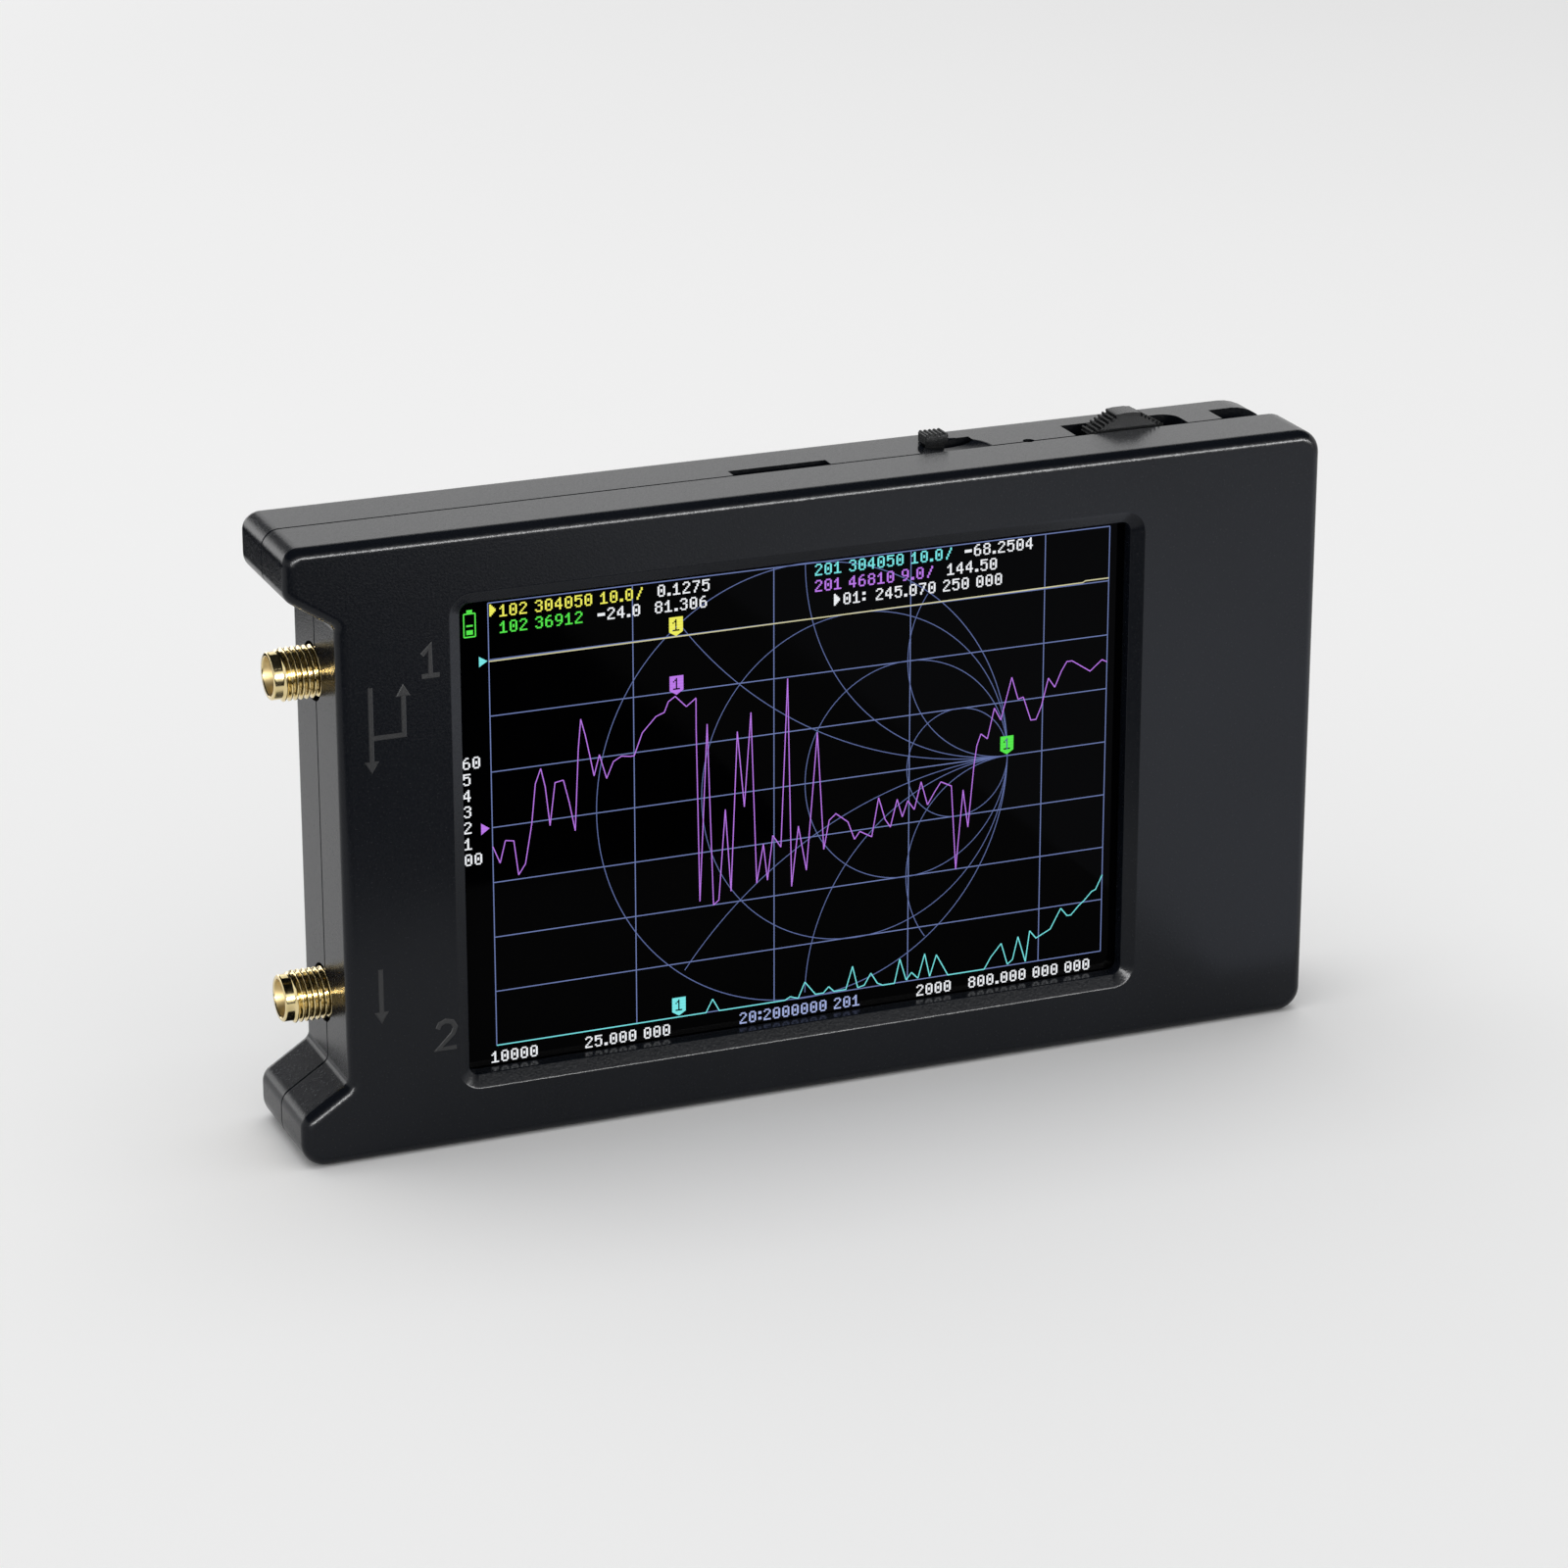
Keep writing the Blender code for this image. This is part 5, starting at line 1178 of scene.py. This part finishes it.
def striped(name, dark, light, direction, pitch, rough):
    """A film or laminate with parallel tracks under its clear skin."""
    material, tree, shader = new_material(name)
    tracks = add_node(
        tree,
        "ShaderNodeTexWave",
        {"wave_type": "BANDS", "bands_direction": direction},
        Vector=object_place(tree),
        Scale=math.pi / (10 * pitch),
        Distortion=0.4,
    ).outputs["Fac"]
    colour = blend_colours(tree, spread(tree, tracks, 0.0, 1.0, 0.4, 0.6), dark, light)
    tree.links.new(colour, shader.inputs["Base Color"])
    broad = noise(tree, object_place(tree), 300, 2.0)
    tree.links.new(spread(tree, broad, *rough), shader.inputs["Roughness"])
    bump(tree, shader, tracks, 0.02 * MM, 0.4)
    return material


def laminate(name):
    """Dark green solder mask with tracks below it and the weave of the glass cloth."""
    material, tree, shader = new_material(name)
    place = object_place(tree)
    cells = add_node(
        tree, "ShaderNodeTexVoronoi", {"distance": "MANHATTAN"}, Vector=place, Scale=420.0
    )
    tracks = spread(tree, cells.outputs["Distance"], 0.0, 1.0, 0.45, 0.52)
    colour = blend_colours(tree, tracks, (0.006, 0.020, 0.015), (0.012, 0.040, 0.028))
    tree.links.new(colour, shader.inputs["Base Color"])
    weave = noise(tree, stretched(tree, (1.0, 1.0, 2.5)), 3200, 1.0)
    tree.links.new(spread(tree, weave, 0.24, 0.36), shader.inputs["Roughness"])
    bump(tree, shader, weave, 0.01 * MM, 0.4)
    return material


def cellular(name, dark, light):
    """Open foam: fine cells with paler walls; the darker cell hollows are painted shade."""
    material, tree, shader = new_material(name)
    cells = add_node(tree, "ShaderNodeTexVoronoi", Vector=object_place(tree), Scale=2200.0)
    depth = cells.outputs["Distance"]
    # Colour darkens with pore depth: painted shade in the cell hollows
    tree.links.new(blend_colours(tree, depth, dark, light), shader.inputs["Base Color"])
    tree.links.new(spread(tree, depth, 0.85, 1.0), shader.inputs["Roughness"])
    bump(tree, shader, depth, 0.15 * MM, 0.8)
    return material


def finish_nodes(material, *names):
    for name in names:
        for material_slot in frame["nodes"][name].material_slots:
            material_slot.material = material


SHEET_COLOURS = ((0.52, 0.52, 0.50), (0.64, 0.64, 0.62))

# Grained finishes: dark and light colour, roughness, grain, depth in mm, metal and nodes
FINISHES = {
    "chip_resin_grain": (
        (0.012, 0.012, 0.013), (0.022, 0.022, 0.023), (0.45, 0.65), 9000, 0.01, 0.0,
        ("synthesizer_chip", "reference_mixer", "reflection_mixer", "transmission_mixer",
         "codec_chip", "processor_chip", "charger_chip", "jog_switch_body"),
    ),
    "ivory_moulding": (
        (0.62, 0.58, 0.46), (0.74, 0.70, 0.57), (0.40, 0.55), 6000, 0.008, 0.0,
        ("ribbon_socket", "battery_socket", "jog_plunger"),
    ),
    "crinkled_foil": (
        (0.46, 0.47, 0.50), (0.60, 0.61, 0.63), (0.30, 0.50), 500, 0.10, 0.8, ("battery_cell",),
    ),
    "red_cover_grain": (
        (0.42, 0.015, 0.012), (0.60, 0.03, 0.02), (0.35, 0.50), 5000, 0.01, 0.0,
        ("battery_lead_positive",),
    ),
    "black_cover_grain": (
        (0.014, 0.014, 0.015), (0.026, 0.026, 0.027), (0.35, 0.50), 5000, 0.01, 0.0,
        ("battery_lead_negative",),
    ),
    "white_insulator_grain": (
        (0.70, 0.68, 0.62), (0.84, 0.82, 0.76), (0.40, 0.55), 4000, 0.008, 0.0,
        ("port_1_insulator", "port_2_insulator"),
    ),
    "milky_lens": (
        (0.66, 0.71, 0.69), (0.80, 0.84, 0.82), (0.10, 0.22), 1500, 0.004, 0.0, ("status_light",),
    ),
    "blackened_steel": (
        (0.030, 0.030, 0.034), (0.060, 0.060, 0.066), (0.30, 0.48), 3000, 0.012, 0.9,
        ("case_screw_1", "case_screw_2", "case_screw_3", "case_screw_4"),
    ),
}
for finish, (dark, light, rough, grain, depth, metal, names) in FINISHES.items():
    finish_nodes(grained(finish, dark, light, rough, grain, depth * MM, metal), *names)

finish_nodes(screen_glass(), "touch_panel")
finish_nodes(brushed("display_back", *SHEET_COLOURS, (0.28, 0.42), (1, 1, 0.05)), "display_module")
finish_nodes(
    striped("amber_film", (0.30, 0.12, 0.03), (0.50, 0.24, 0.06), "Z", 0.8 * MM, (0.22, 0.34)),
    "display_ribbon",
)
finish_nodes(cellular("black_foam", (0.015, 0.015, 0.016), (0.045, 0.045, 0.047)), "battery_pad")
finish_nodes(laminate("board_mask"), "main_board")
finish_nodes(
    brushed("tinned_sheet", *SHEET_COLOURS, (0.24, 0.40), (0.05, 1, 1)),
    "clock_crystal", "radio_shield", "card_socket", "power_switch_body", "usb_socket",
)
finish_nodes(
    turned_gold("contact_gold", (0.74, 0.52, 0.20), (0.88, 0.66, 0.30)),
    "port_1_contact", "port_2_contact",
)


# Light and floor

def make_stage():
    bm = bmesh.new()
    bmesh.ops.create_grid(bm, x_segments=1, y_segments=1, size=4.0)
    material, tree, shader = new_material("pale_floor")
    shade_of = noise(tree, object_place(tree), 3.0, 2.0)
    pale = blend_colours(tree, shade_of, (0.90, 0.90, 0.90), (0.93, 0.93, 0.93))
    tree.links.new(pale, shader.inputs["Base Color"])
    shader.inputs["Roughness"].default_value = 0.9
    shader.inputs["Specular IOR Level"].default_value = 0.0
    floor = new_object("floor", bm, material, None, None)
    floor.location = (0, 0, -0.05 * MM)


def make_world():
    """A white world that lights the scene at two thirds of what camera and gloss see."""
    world = bpy.data.worlds.new("studio")
    bpy.context.scene.world = world
    world.use_nodes = True
    tree = world.node_tree
    background = tree.nodes["Background"]
    rays = add_node(tree, "ShaderNodeLightPath").outputs
    shown = rays["Is Camera Ray"]
    for kind in ("Is Glossy Ray", "Is Transmission Ray"):
        either = add_node(tree, "ShaderNodeMath", {"operation": "MAXIMUM"})
        tree.links.new(shown, either.inputs[0])
        tree.links.new(rays[kind], either.inputs[1])
        shown = either.outputs[0]
    strength = spread(tree, shown, 0.66, 1.0, 0.0, 1.0)
    tree.links.new(strength, background.inputs["Strength"])
    background.inputs["Color"].default_value = (1, 1, 1, 1)


def make_lamp(name, place, target, size, radiance):
    """A soft rectangular lamp with a given brightness of its face."""
    data = bpy.data.lights.new(name, "AREA")
    data.shape = "RECTANGLE"
    data.size, data.size_y = size
    data.energy = radiance * math.pi * size[0] * size[1]
    lamp = bpy.data.objects.new(name, data)
    bpy.context.scene.collection.objects.link(lamp)
    lamp.location = place
    lamp.rotation_euler = (Vector(target) - Vector(place)).to_track_quat("-Z", "Y").to_euler()
    lamp.visible_camera = False
    return lamp


def make_flag(name, low, high, height):
    """A level dark card that only reflections show, as studios use to shape gloss."""
    bm = bmesh.new()
    corners = [(low[0], low[1]), (high[0], low[1]), (high[0], high[1]), (low[0], high[1])]
    bm.faces.new([bm.verts.new((x, y, height)) for x, y in corners])
    material, tree, shader = new_material(f"{name}_felt")
    shade_of = noise(tree, object_place(tree), 30.0)
    felt = blend_colours(tree, shade_of, (0.004, 0.004, 0.004), (0.007, 0.007, 0.007))
    tree.links.new(felt, shader.inputs["Base Color"])
    shader.inputs["Roughness"].default_value = 1.0
    shader.inputs["Specular IOR Level"].default_value = 0.0
    card = new_object(name, bm, material, None, None)
    for kind in ("camera", "diffuse", "shadow", "transmission", "volume_scatter"):
        setattr(card, f"visible_{kind}", False)


make_stage()
make_world()
make_flag("upper_flag", (-1.0, -0.64), (1.0, 0.42), 0.50)
make_flag("rear_flag", (-0.90, 0.42), (-0.02, 1.40), 0.50)
make_flag("side_flag", (-0.70, 0.185), (-0.09, 0.90), 0.002)
make_flag("front_flag", (-0.60, -0.60), (0.03, -0.08), 0.002)
top_lamp = make_lamp("top_lamp", (0.0, 0.10, 0.9), (0, 0, 0.04), (0.9, 0.7), 1.40)
top_lamp.visible_glossy = False
edge_lamp = make_lamp("edge_lamp", (0.10, -0.65, 0.20), (0, 0, 0.07), (1.3, 0.09), 50.0)
edge_lamp.visible_diffuse = False
bounce_lamp = make_lamp("bounce_lamp", (0.19, -0.12, 0.002), (0.19, -0.12, 1), (0.26, 0.20), 0.70)
bounce_lamp.visible_diffuse = False
bounce_lamp.data.color = (0.88, 0.95, 1.15)
sheen_lamp = make_lamp("sheen_lamp", (0.36, 0.95, 0.42), (0.05, 0, 0.077), (1.0, 0.22), 0.42)
sheen_lamp.visible_diffuse = False
make_lamp("rear_lamp", (-0.35, 0.95, 0.16), (-0.05, 0, 0.04), (1.1, 0.30), 1.5)
bpy.context.scene.view_settings.view_transform = "Standard"
